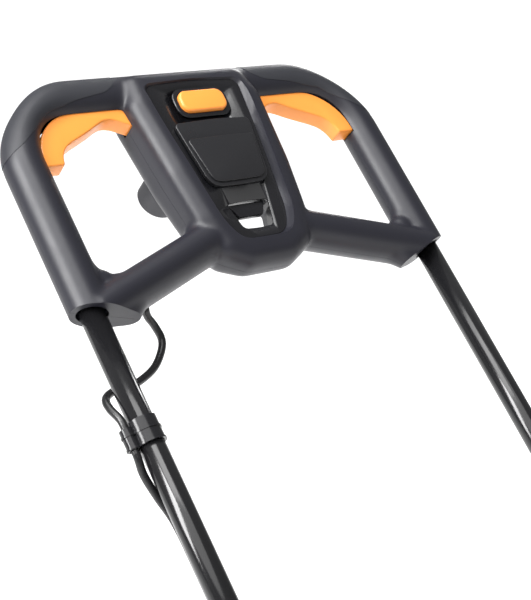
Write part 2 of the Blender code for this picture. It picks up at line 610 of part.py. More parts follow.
ENTRY_AT = Vector((-0.0760, 0.1154, 0.2009))  # where the lead goes through the motor cover
ENTRY_RUN = Vector((0.0100, -0.0220, -0.0020))
lower_run += [to_handle @ Vector(p) for p in ((-0.137, 0.222, 0.228), (-0.115, 0.180, 0.210))]
lower_run += [to_handle @ (ENTRY_AT + ENTRY_RUN * k) for k in (-1.0, -0.5, 0.0, 0.5, 1.0)]


def trimmed(points, start=0.0, end=0.0):
    """A run with its first or last point pulled back along itself."""
    points = [p.copy() for p in points]
    if start:
        points[0] += (points[1] - points[0]).normalized() * start
    if end:
        points[-1] += (points[-2] - points[-1]).normalized() * end
    return points


upper_path = trimmed(smooth_path(upper_run, 0.015), end=GAP / 2)
lower_path = trimmed(smooth_path(lower_run, 0.016), start=GAP / 2)
swept("motor_lead_upper", upper_path, CABLE_R, CABLE_BLACK, HANDLE, 2)
swept("motor_lead_lower", lower_path, CABLE_R, CABLE_BLACK, LOWER, 2)
LEAD_HOLE = swept("lead_hole", upper_path[:4], CABLE_R + 0.0004, None, HANDLE, 2, cutter=True)
boolean(lower, LEAD_HOLE)


def lead_clip(name, tube_x, lead_x, lead_z, foot_y, length, frame):
    """Band round the tube with a smaller ring for the lead, opened on its far side."""
    top_y = foot_y + length
    band = rod(name, TUBE_R + GAP + 0.0024, (tube_x, foot_y, 0.0), (tube_x, top_y, 0.0), SATIN_BLACK,
               frame, 20)
    ring = rod(name + "_ring", CABLE_R + 0.0030, (lead_x, foot_y - 0.001, lead_z),
               (lead_x, top_y + 0.001, lead_z), None, frame, 16, cutter=True)
    tube_space = rod(name + "_tube_space", TUBE_R + GAP, (tube_x, foot_y - 0.01, 0.0),
                     (tube_x, top_y + 0.01, 0.0), None, frame, 24, cutter=True)
    lead_space = rod(name + "_lead_space", CABLE_R + 0.0011, (lead_x, foot_y - 0.01, lead_z),
                     (lead_x, top_y + 0.01, lead_z), None, frame, 16, cutter=True)
    boolean(band, ring, "UNION")
    boolean(band, tube_space)
    boolean(band, lead_space)
    return band


lead_clip("lead_clip_upper", -UPPER_X, LEAD_X, -0.0018, -0.1310, 0.0280, HANDLE)
lead_clip("lead_clip_lower", -LOWER_X, -LOWER_X, -0.0155, -0.7200, 0.0240, LOWER)

# ---------------------------------------------------------------- deck
DECK_PLAN = mirrored([
    (0.0, DECK_FRONT), (0.120, DECK_FRONT), (0.148, -0.229), (0.170, -0.213), (DECK_X, -0.192),
    (DECK_X, 0.215), (0.172, DECK_REAR), (0.0, DECK_REAR)])
DECK_SPACE = mirrored([
    (0.0, DECK_FRONT + DECK_WALL), (0.119, DECK_FRONT + DECK_WALL), (0.146, -0.2255), (0.167, -0.210),
    (DECK_X - DECK_WALL, -0.190), (DECK_X - DECK_WALL, 0.213), (0.170, DECK_REAR - DECK_WALL),
    (0.0, DECK_REAR - DECK_WALL)])
deck_mid = (DECK_TOP + DECK_FOOT) / 2
deck = plate("deck_shell", DECK_PLAN, DECK_TOP - DECK_FOOT, deck_mid, ORANGE, MOWER)
deck_space = plate("deck_space", DECK_SPACE, 0.130, DECK_TOP - DECK_WALL - 0.065, None, MOWER, cutter=True)
boolean(deck, deck_space)
discharge = block("discharge", (0.220, 0.040, 0.050), (0.0, DECK_REAR, 0.108), None, MOWER, cutter=True)
boolean(deck, discharge)
for name, size, centre in (
        ("box_shelf", (0.200, 0.034, 0.006), (0.0, DECK_REAR + 0.013, 0.0620)),
        ("flap_lug_1", (0.008, 0.016, 0.026), (0.1320, 0.224, 0.1580)),
        ("flap_lug_2", (0.008, 0.016, 0.026), (-0.1320, 0.224, 0.1580))):
    # a ledge carries the front of the grass box, and two lugs the flap's rod
    boolean(deck, block(name, size, centre, None, MOWER, cutter=True), "UNION")
for side in (-1, 1):
    # angled sleeves take the feet of the lower tubes
    sleeve = rod(f"sleeve_{side}", 0.0160, (side * LOWER_X, -HANDLE_RUN - 0.046, 0.0),
                 (side * LOWER_X, -HANDLE_RUN + 0.055, 0.0), None, HANDLE, 20, cutter=True)
    boolean(deck, sleeve, "UNION")
    bore = rod(f"sleeve_bore_{side}", TUBE_R + GAP, (side * LOWER_X, -HANDLE_RUN - GAP, 0.0),
               (side * LOWER_X, -HANDLE_RUN + 0.08, 0.0), None, HANDLE, 20, cutter=True)
    boolean(deck, bore)
boolean(deck, FOOT_HOLE)
shaft_hole = rod("shaft_hole", 0.0110, (0.0, 0.0, 0.13), (0.0, 0.0, 0.17), None, MOWER, 20, cutter=True)
boolean(deck, shaft_hole)
AXLES = {"front": (FRONT_AXLE_Y, FRONT_WHEEL_R), "rear": (REAR_AXLE_Y, REAR_WHEEL_R)}
for end, (y, z) in AXLES.items():
    hole = rod(f"axle_hole_{end}", AXLE_R + GAP, (-0.3, y, z), (0.3, y, z), None, MOWER, 16, cutter=True)
    boolean(deck, hole)

FLAP_Y, FLAP_Z = 0.2260, 0.1640
FLAP_ROD_R = 0.0020
flap_hole = rod("flap_hole", FLAP_ROD_R + GAP, (-0.2, FLAP_Y, FLAP_Z), (0.2, FLAP_Y, FLAP_Z), None,
                MOWER, 12, cutter=True)
boolean(deck, flap_hole)
rod("flap_rod", FLAP_ROD_R, (-0.138, FLAP_Y, FLAP_Z), (0.138, FLAP_Y, FLAP_Z), STEEL, MOWER, 12)
flap = rod("rear_flap", 0.0050, (-0.1275, 0.0, 0.0), (0.1275, 0.0, 0.0), SATIN_BLACK, MOWER, 16)
flap.location = (0.0, FLAP_Y, FLAP_Z)
flap_plate = block("flap_plate", (0.2530, 0.0720, 0.0030), (0.0, FLAP_Y + 0.0380, FLAP_Z + 0.0005), None,
                   MOWER, cutter=True)
boolean(flap, flap_plate, "UNION")
boolean(flap, flap_hole)

# motor cover: rounded shell over the motor
COVER_PLAN = mirrored([(0.0, -0.124), (0.045, -0.120), (0.072, -0.098), (0.088, -0.055), (0.090, 0.010),
                       (0.083, 0.062), (0.062, 0.092), (0.035, 0.104), (0.0, 0.107)])
COVER_IN = [(x * 0.974, y * 0.974) for x, y in COVER_PLAN]
cover = plate("motor_cover", COVER_PLAN, 0.1550, 0.2070, SATIN_BLACK, MOWER, rounding=0.026)
cover_space = plate("cover_space", COVER_IN, 0.1490, 0.2070, None, MOWER, rounding=0.024, cutter=True)
cover_foot = block("cover_foot", (0.4, 0.4, 0.1), (0.0, 0.0, DECK_TOP + GAP - 0.05), None, MOWER,
                   cutter=True)
boolean(cover, cover_space)
boolean(cover, cover_foot)
for index in range(5):
    vent = block(f"vent_{index}", (0.110, 0.0060, 0.030), (0.0, -0.060 + index * 0.016, 0.286), None, MOWER,
                 cutter=True)
    boolean(cover, vent)
lead_entry = rod("lead_entry", CABLE_R + 0.0048, ENTRY_AT - ENTRY_RUN, ENTRY_AT + ENTRY_RUN * 0.8, None,
                 MOWER, 18, cutter=True)
boolean(cover, lead_entry)
grommet = rod("lead_grommet", CABLE_R + 0.0044, ENTRY_AT - ENTRY_RUN * 0.45, ENTRY_AT + ENTRY_RUN * 0.30,
              RUBBER, MOWER, 18)
grommet_bore = rod("grommet_bore", CABLE_R + 0.0007, ENTRY_AT - ENTRY_RUN, ENTRY_AT + ENTRY_RUN, None,
                   MOWER, 18, cutter=True)
boolean(grommet, grommet_bore)

# ---------------------------------------------------------------- motor and cutter
turned("motor", [(0.0066, 0.1505), (0.0450, 0.1505), (0.0460, 0.155), (0.0460, 0.224), (0.0430, 0.229),
                 (0.0066, 0.229)], COPPER, MOWER, (0, 0, 0), 28)
shaft = rod("motor_shaft", 0.0060, (0, 0, 0.0640), (0, 0, 0.2560), STEEL, MOWER, 18)
fan = turned("cooling_fan", [(0.0063, 0.2325), (0.0400, 0.2325), (0.0400, 0.2350), (0.0120, 0.2360),
                             (0.0110, 0.2520), (0.0063, 0.2520)], SATIN_BLACK, MOWER, (0, 0, 0), 24)
for index in range(6):
    vane = block(f"vane_{index}", (0.0260, 0.0016, 0.0150), (0.0240, 0.0, 0.2420), None, MOWER, cutter=True)
    vane.rotation_euler.z = math.radians(60 * index + 4)
    boolean(fan, vane, "UNION")
turned("blade_holder", [(0.0063, 0.0900), (0.0140, 0.0900), (0.0150, 0.0660), (0.0280, 0.0640),
                        (0.0280, 0.0562), (0.0043, 0.0562), (0.0043, 0.0637), (0.0063, 0.0637)],
       STEEL, MOWER, (0, 0, 0), 16)
blade = block("cutting_blade", (2 * CUT_R - 0.002, 0.0460, 0.0030), (0.0, 0.0, BLADE_Z), BLADE_STEEL, MOWER)
blade_hole = rod("blade_hole", 0.0043, (0, 0, 0.04), (0, 0, 0.07), None, MOWER, 16, cutter=True)
boolean(blade, blade_hole)
for side in (-1, 1):
    lift_section = [(-0.0195, BLADE_Z - 0.0012), (-0.0300, BLADE_Z + 0.0080),
                    (-0.0320, BLADE_Z + 0.0060), (-0.0215, BLADE_Z - 0.0014)]
    lift = plate(f"blade_lift_{side}", lift_section, 0.0700, 0.0, None, MOWER, cutter=True)
    lift.rotation_euler = (math.radians(90), 0.0, math.radians(90))
    lift.location = (side * 0.1200, 0.0, 0.0)
    if side < 0:
        lift.rotation_euler.z = math.radians(-90)
    boolean(blade, lift, "UNION")
bolt = rod("blade_bolt", 0.0040, (0, 0, 0.0480), (0, 0, 0.0634), STEEL, MOWER, 16)
bolt_head = rod("blade_bolt_head", 0.0085, (0, 0, 0.0455), (0, 0, BLADE_Z - 0.0015 - GAP), None, MOWER,
                6, cutter=True)
boolean(bolt, bolt_head, "UNION")

# ---------------------------------------------------------------- axles and wheels
for end, (y, radius) in AXLES.items():
    rod(f"{end}_axle", AXLE_R, (-WHEEL_X - 0.0095, y, radius), (WHEEL_X + 0.0095, y, radius), STEEL,
        MOWER, 16)
    for side, hand in ((-1, "right"), (1, "left")):
        at = (side * WHEEL_X, y, radius)
        rim_r = radius - 0.0140
        turned(f"{end}_wheel_{hand}",
               [(AXLE_R + GAP, -0.0155), (AXLE_R + GAP, 0.0060), (0.0145, 0.0060), (0.0145, 0.0165),
                (0.0175, 0.0165), (0.0200, 0.0080), (rim_r - 0.0060, 0.0080), (rim_r - 0.0040, 0.0150),
                (rim_r, 0.0150), (rim_r, -0.0150), (rim_r - 0.0040, -0.0150), (rim_r - 0.0060, -0.0030),
                (0.0160, -0.0030), (0.0150, -0.0155)], SATIN_BLACK, MOWER, at, 20, (side, 0, 0))
        turned(f"{end}_tyre_{hand}",
               [(rim_r + GAP, -0.0150), (rim_r + GAP, 0.0150), (rim_r + 0.0040, 0.0168),
                (radius - 0.0020, 0.0168), (radius, 0.0130), (radius, -0.0130),
                (radius - 0.0020, -0.0168), (rim_r + 0.0040, -0.0168)],
               RUBBER, MOWER, at, 20, (side, 0, 0))
        turned(f"{end}_hub_cap_{hand}",
               [(0.0, 0.0125), (0.0142, 0.0125), (0.0142, 0.0150), (0.0110, 0.0168), (0.0, 0.0170)],
               ORANGE, MOWER, at, 14, (side, 0, 0))

# ---------------------------------------------------------------- grass box
BOX_HALF = 0.1420
BOX_WALL = 0.003
BOX_SPLIT = 0.1480
BOX_SIDE = [(0.2378, 0.0656), (0.4700, 0.0700), (0.5250, 0.0900), (0.5500, 0.1300), (0.5650, 0.2300),
            (0.5500, 0.2600), (0.5200, 0.2700), (0.3500, 0.2640), (0.3250, 0.2450), (0.3070, 0.1620),
            (0.2378, 0.1605)]
BOX_SPACE = [(0.2000, 0.0686), (0.4690, 0.0730), (0.5225, 0.0920), (0.5470, 0.1310), (0.5618, 0.2295),
             (0.5480, 0.2575), (0.5195, 0.2670), (0.3510, 0.2610), (0.3275, 0.2435), (0.3095, 0.1590),
             (0.2000, 0.1575)]


def side_plate(name, points, width, finish_of, cutter=False):
    """A side view in y and z, made as wide as given across x."""
    piece = plate(name, points, width, 0.0, finish_of, MOWER, cutter=cutter)
    turn = Matrix(((0, 0, 1, 0), (1, 0, 0, 0), (0, 1, 0, 0), (0, 0, 0, 1)))
    piece.data.transform(turn)
    return piece


box_space = side_plate("box_space", BOX_SPACE, 2 * (BOX_HALF - BOX_WALL), None, cutter=True)
above_split = block("above_split", (0.4, 0.8, 0.2), (0, 0.4, BOX_SPLIT - GAP / 2 + 0.1), None, MOWER,
                    cutter=True)
below_split = block("below_split", (0.4, 0.8, 0.2), (0, 0.4, BOX_SPLIT + GAP / 2 - 0.1), None, MOWER,
                    cutter=True)
grass_box = side_plate("grass_box", BOX_SIDE, 2 * BOX_HALF, SATIN_BLACK)
grass_lid = side_plate("grass_box_lid", BOX_SIDE, 2 * BOX_HALF, SATIN_BLACK)
for piece, half in ((grass_box, above_split), (grass_lid, below_split)):
    boolean(piece, box_space)
    boolean(piece, half)
handle_path = [Vector((0.0, y, z)) for y, z in (
    (0.385, 0.2630), (0.388, 0.285), (0.400, 0.298), (0.455, 0.300), (0.468, 0.288), (0.470, 0.2650))]
carry = swept("carry_loop", handle_path, 0.0065, None, MOWER, 2, cutter=True)
boolean(grass_lid, carry, "UNION")

# ---------------------------------------------------------------- frames on the joint axes
def hang(names, axis_frame):
    """Parents pieces to a frame that lies on their joint's axis, and leaves them where they are."""
    bpy.context.view_layer.update()
    for name in names:
        piece = bpy.data.objects[name]
        stay = axis_frame.matrix_world.inverted() @ piece.parent.matrix_world
        piece.parent = axis_frame
        piece.matrix_parent_inverse = stay


HANDS = ("left", "right")
for side, hand in ((-1, "right"), (1, "left")):
    lever_axis = empty(f"lever_axis_{hand}", (side * LEVER_PIVOT.x, LEVER_PIVOT.y, 0.0), 0.0, HANDLE)
    hang([f"switch_lever_{hand}"], lever_axis)
button_axis = empty("button_axis", (*BUTTON, PANEL_Z), 0.0, PANEL)
hang(["start_button"], button_axis)
flap_axis = empty("flap_axis", (0.0, FLAP_Y, FLAP_Z), 0.0, MOWER)
hang(["rear_flap"], flap_axis)
hang(["handle_upper_shell", "handle_lower_shell", "control_panel", "panel_cover", "button_bezel",
      "button_spring", "lead_hook", "mains_inlet", "inlet_contacts", "switch_module",
      "motor_lead_upper", "lead_clip_upper"], FOLD)
hang([f"{piece}_{hand}" for hand in HANDS
      for piece in ("corner_grip", "lever_pin", "lever_spring", "upper_tube")], FOLD)
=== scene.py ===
import math

import bmesh
import bpy
from mathutils import Matrix, Vector


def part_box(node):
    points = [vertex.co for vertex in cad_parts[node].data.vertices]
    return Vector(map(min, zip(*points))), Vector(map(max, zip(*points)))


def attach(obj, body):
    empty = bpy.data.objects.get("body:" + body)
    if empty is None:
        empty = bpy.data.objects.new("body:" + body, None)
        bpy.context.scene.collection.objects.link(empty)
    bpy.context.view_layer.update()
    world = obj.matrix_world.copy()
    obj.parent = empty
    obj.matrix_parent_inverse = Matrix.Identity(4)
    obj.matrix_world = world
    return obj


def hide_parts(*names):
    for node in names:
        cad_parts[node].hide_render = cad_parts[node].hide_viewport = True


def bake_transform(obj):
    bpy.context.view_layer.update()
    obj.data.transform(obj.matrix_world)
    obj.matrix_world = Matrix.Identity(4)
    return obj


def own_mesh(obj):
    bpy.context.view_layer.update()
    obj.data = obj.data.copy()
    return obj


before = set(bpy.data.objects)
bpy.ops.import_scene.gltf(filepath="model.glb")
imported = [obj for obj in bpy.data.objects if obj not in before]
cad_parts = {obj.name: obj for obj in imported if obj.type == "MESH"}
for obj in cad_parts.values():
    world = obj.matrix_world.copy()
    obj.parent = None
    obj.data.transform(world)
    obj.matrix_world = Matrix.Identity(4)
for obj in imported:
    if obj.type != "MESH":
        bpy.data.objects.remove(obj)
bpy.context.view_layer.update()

# Handle housing. Two satin black mouldings, split along the middle of the loop and screwed together
# from below, carry the hand grip, the switch levers and the control face. The bars run into each
# other with soft fillets, as in one moulded part.
HANDLE_ANGLE = math.radians(44.5)
TUBE_X = 0.192  # upper tubes, from the middle
BEND = Vector((0.124, 0.142))  # centre of the loop's bend
BEND_R = 0.068
LEG_R = 0.0190
FOLD = -0.5  # the fold bolt, measured down the handle line from the housing's mouth

axle_low, axle_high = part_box("front_axle")
blade_y = (axle_low[1] + axle_high[1]) / 2 + 0.186  # the blade's axis
mower_at = Matrix.Translation((0.0, blade_y, 0.0))
handle_foot = Vector((0.0, 0.175, 0.175))
handle_line = Vector((0.0, math.cos(HANDLE_ANGLE), math.sin(HANDLE_ANGLE)))
handle_at = (mower_at @ Matrix.Translation(handle_foot + handle_line * 0.95)
             @ Matrix.Rotation(HANDLE_ANGLE, 4, "X"))
panel_at = handle_at @ Matrix.Translation((0.0, 0.118, 0.024)) @ Matrix.Rotation(math.radians(2.9), 4, "X")


def finished(name, shape, where=None, sharp=40):
    """A mesh object that sits at the origin, with its place in its mesh."""
    if where is not None:
        bmesh.ops.transform(shape, matrix=where, verts=shape.verts)
    mesh = bpy.data.meshes.new(name)
    shape.to_mesh(mesh)
    shape.free()
    mesh.shade_smooth()
    mesh.set_sharp_from_angle(angle=math.radians(sharp))
    made = bpy.data.objects.new(name, mesh)
    bpy.context.scene.collection.objects.link(made)
    return made


def settled(obj):
    """The object with its modifiers made part of its mesh."""
    bpy.context.view_layer.update()
    graph = bpy.context.evaluated_depsgraph_get()
    mesh = bpy.data.meshes.new_from_object(obj.evaluated_get(graph))
    obj.modifiers.clear()
    old, obj.data = obj.data, mesh
    bpy.data.meshes.remove(old)
    return obj


def worked(obj, tool, operation="DIFFERENCE", keep_tool=False):
    """Cuts, joins or crosses one shape with another."""
    step = obj.modifiers.new("work", "BOOLEAN")
    step.operation = operation
    step.object = tool
    step.solver = "EXACT"
    settled(obj)
    if not keep_tool:
        bpy.data.objects.remove(tool)
    return obj


def rod(shape, radius, start, end, sides=32, end_radius=None):
    """Adds a closed round bar or cone to a shape."""
    start, end = Vector(start), Vector(end)
    along = end - start
    turn = along.to_track_quat("Z", "Y").to_matrix().to_4x4()
    return bmesh.ops.create_cone(
        shape, cap_ends=True, segments=sides, radius1=radius, depth=along.length,
        radius2=radius if end_radius is None else end_radius,
        matrix=Matrix.Translation((start + end) / 2) @ turn)["verts"]


def slab(shape, corners, low, high, rounding=0.0, steps=5):
    """Adds a flat piece cut to an outline of corners, which are rounded in plan."""
    face = shape.faces.new([shape.verts.new((x, y, low)) for x, y in corners])
    if rounding:
        bmesh.ops.bevel(shape, geom=face.verts[:], offset=rounding, segments=steps, profile=0.5,
                        affect="VERTICES", clamp_overlap=True, material=-1)
        face = max((f for f in shape.faces if abs(f.calc_center_median().z - low) < 1e-7
                    and len(f.verts) > 4), key=lambda f: f.calc_area())
    base = [face]
    top = bmesh.ops.extrude_face_region(shape, geom=base, use_keep_orig=True)["geom"]
    bmesh.ops.translate(shape, vec=(0, 0, high - low), verts=[g for g in top if isinstance(g, bmesh.types.BMVert)])
    return [g for g in top if isinstance(g, bmesh.types.BMFace)]


def narrowed(shape, top, factor, shift=(0.0, 0.0)):
    """Draws in the top of a slab, so that its sides slope."""
    verts = list({v for f in top for v in f.verts})
    bmesh.ops.scale(shape, vec=(*factor, 1.0), verts=verts)
    bmesh.ops.translate(shape, vec=(*shift, 0.0), verts=verts)


def eased(shape, radius, steps=3, least=35):
    """Rounds the sharp edges of a shape."""
    edges = [e for e in shape.edges if e.is_manifold and e.calc_face_angle(0.0) > math.radians(least)]
    bmesh.ops.bevel(shape, geom=edges, offset=radius, segments=steps, profile=0.5, affect="EDGES",
                    clamp_overlap=True, material=-1)


def mirrored(points):
    """An outline given on the +x side, closed by its mirror image."""
    return points + [(-x, y) for x, y in reversed(points) if x > 1e-6]


form = bmesh.new()
bmesh.ops.create_circle(form, cap_ends=False, segments=48, radius=LEG_R,
                        matrix=Matrix.Translation((TUBE_X, -0.034, 0.0)) @ Matrix.Rotation(math.pi / 2, 4, "X"))
ring = form.edges[:]
leg = bmesh.ops.extrude_edge_only(form, edges=ring)["geom"]
bmesh.ops.translate(form, vec=(0.0, BEND.y + 0.034, 0.0), verts=[g for g in leg if isinstance(g, bmesh.types.BMVert)])
ring = [g for g in leg if isinstance(g, bmesh.types.BMEdge) and all(v in leg for v in g.verts)]
bend = bmesh.ops.spin(form, geom=ring + list({v for e in ring for v in e.verts}), cent=(*BEND, 0.0),
                      axis=(0, 0, 1), angle=math.pi / 2, steps=28, use_merge=False)["geom_last"]
ring = [g for g in bend if isinstance(g, bmesh.types.BMEdge)]
bar = bmesh.ops.extrude_edge_only(form, edges=ring)["geom"]
bmesh.ops.translate(form, vec=(-BEND.x - 0.002, 0.0, 0.0), verts=[g for g in bar if isinstance(g, bmesh.types.BMVert)])
bmesh.ops.holes_fill(form, edges=form.edges, sides=0)
# the hand grip is thicker than the legs
for vert in form.verts:
    x, y = vert.co.x, vert.co.y
    turn = min(max(math.atan2(y - BEND.y, max(x - BEND.x, 1e-9)) / (math.pi / 2), 0.0), 1.0)
    late = max(turn - 0.45, 0.0) / 0.55
    swell = 1.0 + 0.13 * late * late * (3 - 2 * late) - 0.20 * math.sin(math.pi * turn) ** 2
    if x < BEND.x:
        middle = Vector((x, BEND.y + BEND_R))
    elif y < BEND.y:
        middle = Vector((TUBE_X, y))
    else:
        middle = BEND + Vector((x - BEND.x, y - BEND.y)).normalized() * BEND_R
    vert.co.x = middle.x + (x - middle.x) * swell
    vert.co.y = middle.y + (y - middle.y) * swell
    vert.co.z *= 1 - 0.04 * turn
bar = rod(form, 0.0186, (0.045, 0.0440, 0.0), (0.190, -0.0060, 0.0), 48)
bmesh.ops.scale(form, vec=(1.0, 1.0, 1.14), verts=bar)
foot = bmesh.new()
for x, y, radius in ((0.192, -0.0140, 0.0176), (0.1660, -0.0150, 0.0120), (0.1440, 0.0108, 0.0172)):
    bmesh.ops.create_uvsphere(foot, u_segments=32, v_segments=16, radius=radius,
                              matrix=Matrix.Translation((x, y, 0.0)))
hull = bmesh.ops.convex_hull(foot, input=foot.verts)
bmesh.ops.delete(foot, geom=[g for g in hull["geom_interior"] if isinstance(g, bmesh.types.BMVert)], context="VERTS")
# rounded fillings in the corners between leg and bar, and between bar and hub
for x, y in ((0.1832, 0.0337), (0.1725, 0.0213), (0.1569, 0.0149), (0.0570, 0.0510)):
    bmesh.ops.create_uvsphere(foot, u_segments=32, v_segments=16, radius=0.0132,
                              matrix=Matrix.Translation((x, y, 0.0)))
foot_mesh = bpy.data.meshes.new("foot")
foot.to_mesh(foot_mesh)
foot.free()
form.from_mesh(foot_mesh)
bpy.data.meshes.remove(foot_mesh)
bmesh.ops.mirror(form, geom=form.verts[:] + form.edges[:] + form.faces[:], axis="X", merge_dist=-1)
bmesh.ops.recalc_face_normals(form, faces=form.faces)

hub = bmesh.new()
for x, y, high, low in ((0.0560, 0.2090, 0.0090, -0.0060), (0.0600, 0.1860, 0.0120, -0.0120),
                        (0.0535, 0.1100, 0.0110, -0.0120), (0.0470, 0.0600, 0.0085, -0.0090),
                        (0.0385, 0.0310, 0.0060, -0.0050), (0.0215, 0.0220, 0.0045, -0.0030)):
    for side in (-1, 1):
        for z in (high, low):
            bmesh.ops.create_uvsphere(hub, u_segments=32, v_segments=16, radius=0.0160,
                                      matrix=Matrix.Translation((side * x, y, z)))
hull = bmesh.ops.convex_hull(hub, input=hub.verts)
bmesh.ops.delete(hub, geom=[g for g in hull["geom_interior"] if isinstance(g, bmesh.types.BMVert)], context="VERTS")
hub_mesh = bpy.data.meshes.new("hub")
hub.to_mesh(hub_mesh)
hub.free()
form.from_mesh(hub_mesh)
bpy.data.meshes.remove(hub_mesh)

housing = finished("handle_upper_shell_skin", form)
joined = housing.modifiers.new("one_moulding", "REMESH")
joined.mode = "VOXEL"
joined.voxel_size = 0.0015
soft = housing.modifiers.new("fillets", "SMOOTH")
soft.factor = 0.5
soft.iterations = 32
settled(housing)
grip_form = housing.data.copy()

# what is cut out of the moulding: the two slanted mouths, the lever slots, the sunk control face
# with its lead window, and the hole for the mains inlet
RECESS = mirrored([(0.0, 0.0925), (0.0585, 0.0900), (0.0535, 0.0330), (0.0475, -0.0180), (0.0405, -0.0670),
                   (0.0285, -0.0890), (0.0, -0.0895)])
WINDOW = (0.0, -0.0640)
MOUTH_SLOPE = 0.310
tools = bmesh.new()
for side in (-1, 1):
    low = bmesh.ops.create_cube(tools, size=1.0)["verts"]
    bmesh.ops.scale(tools, vec=(0.150, 0.060, 0.080), verts=low)
    bmesh.ops.translate(tools, vec=(0.0, -0.030, 0.0), verts=low)
    bmesh.ops.rotate(tools, cent=(0, 0, 0), matrix=Matrix.Rotation(side * math.atan(MOUTH_SLOPE), 3, "Z"), verts=low)
    bmesh.ops.translate(tools, vec=(side * TUBE_X, -0.005, 0.0), verts=low)
mouth_tool = finished("mouths", tools)
worked(housing, mouth_tool)
tools = bmesh.new()
for side in (-1, 1):
    rod(tools, 0.0134, (side * TUBE_X, -0.060, 0.0), (side * TUBE_X, 0.030, 0.0), 48)
for side in (-1, 1):
    points = [(0.150, 0.1375), (0.150, 0.1500), (0.134, 0.1600), (0.110, 0.1700), (0.0900, 0.1770),
              (0.0600, 0.1660), (0.0580, 0.2035), (0.1240, 0.2065), (0.1487, 0.2016), (0.1696, 0.1876),
              (0.1836, 0.1667), (0.1885, 0.1420), (0.1885, 0.1375)]
    points = [(side * x, y) for x, y in points]
    slab(tools, points if side < 0 else points[::-1], -0.0092, 0.0092)
bmesh.ops.recalc_face_normals(tools, faces=tools.faces)
lever_slots = finished("lever_slots", tools)
worked(housing, lever_slots, keep_tool=True)
panel_place = Matrix.Translation((0.0, 0.118, 0.024)) @ Matrix.Rotation(math.radians(2.9), 4, "X")
tools = bmesh.new()
rim = slab(tools, RECESS, 0.0300, 0.0010, 0.0100, 6)
bottom = bmesh.ops.extrude_face_region(tools, geom=rim)["geom"]
bottom = [g for g in bottom if isinstance(g, bmesh.types.BMFace)]
bmesh.ops.delete(tools, geom=[f for f in rim if f.is_valid], context="FACES_ONLY")
bmesh.ops.translate(tools, vec=(0.0, 0.0, -0.0070), verts=list({v for f in bottom for v in f.verts}))
narrowed(tools, bottom, (0.920, 0.960))
bmesh.ops.recalc_face_normals(tools, faces=tools.faces)
worked(housing, finished("recess", tools, panel_place))
POCKET = mirrored([(0.0, -0.0470), (0.0240, -0.0480), (0.0170, -0.0755), (0.0, -0.0765)])


def pocket_tool(size, high, low):
    """The lead pocket's space: as wide as the window above, belled out below."""
    shape = bmesh.new()
    near = slab(shape, [(x * size, -0.0615 + (y + 0.0615) * size) for x, y in POCKET], high, low, 0.0045, 4)
    bmesh.ops.translate(shape, vec=(0.0, 0.0615, 0.0), verts=list({v for f in near for v in f.verts}))
    narrowed(shape, near, (1.75, 1.35), (0.0, -0.0615))
    bmesh.ops.recalc_face_normals(shape, faces=shape.faces)
    return shape


tools = bmesh.new()
rod(tools, 0.0212, (-0.038, 0.129, -0.0600), (-0.038, 0.129, -0.0100), 64)
worked(housing, finished("inlet_hole", tools))
worked(housing, finished("pocket", pocket_tool(1.072, 0.0300, -0.0550), panel_place))

# each shell is one half of the moulding, with a fine parting line between them
shells = []
for name, keep in (("handle_upper_shell", 1), ("handle_lower_shell", -1)):
    half = bmesh.new()
    bmesh.ops.create_cube(half, size=1.0)
    bmesh.ops.scale(half, vec=(0.6, 0.6, 0.1), verts=half.verts)
    bmesh.ops.translate(half, vec=(0.0, 0.1, keep * 0.05012), verts=half.verts)
    shell = worked(finished(name + "_skin", half), housing, "INTERSECT", True)
    shell.data.transform(handle_at)
    shell.data.shade_smooth()
    shell.data.set_sharp_from_angle(angle=math.radians(50))
    shells.append(shell)
    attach(shells[-1], "handle")
    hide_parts(name)
bpy.data.objects.remove(housing)

# Moulded surfaces share a fine spark-eroded grain and a slight unevenness of gloss.
surface = bpy.data.node_groups.new("moulded surface", "ShaderNodeTree")
for name, kind in (("Vector", "NodeSocketVector"), ("Grain Size", "NodeSocketFloat"),
                   ("Patch Size", "NodeSocketFloat")):
    surface.interface.new_socket(name, in_out="INPUT", socket_type=kind)
for name in ("Grain", "Patches"):
    surface.interface.new_socket(name, in_out="OUTPUT", socket_type="NodeSocketFloat")
taken = surface.nodes.new("NodeGroupInput")
given = surface.nodes.new("NodeGroupOutput")
grain = surface.nodes.new("ShaderNodeTexNoise")
grain.inputs["Detail"].default_value = 2.0
patches = surface.nodes.new("ShaderNodeTexNoise")
patches.inputs["Detail"].default_value = 4.0
patches.inputs["Roughness"].default_value = 0.6
surface.links.new(taken.outputs["Vector"], grain.inputs["Vector"])
surface.links.new(taken.outputs["Vector"], patches.inputs["Vector"])
surface.links.new(taken.outputs["Grain Size"], grain.inputs["Scale"])
surface.links.new(taken.outputs["Patch Size"], patches.inputs["Scale"])
surface.links.new(grain.outputs["Fac"], given.inputs["Grain"])
surface.links.new(patches.outputs["Fac"], given.inputs["Patches"])


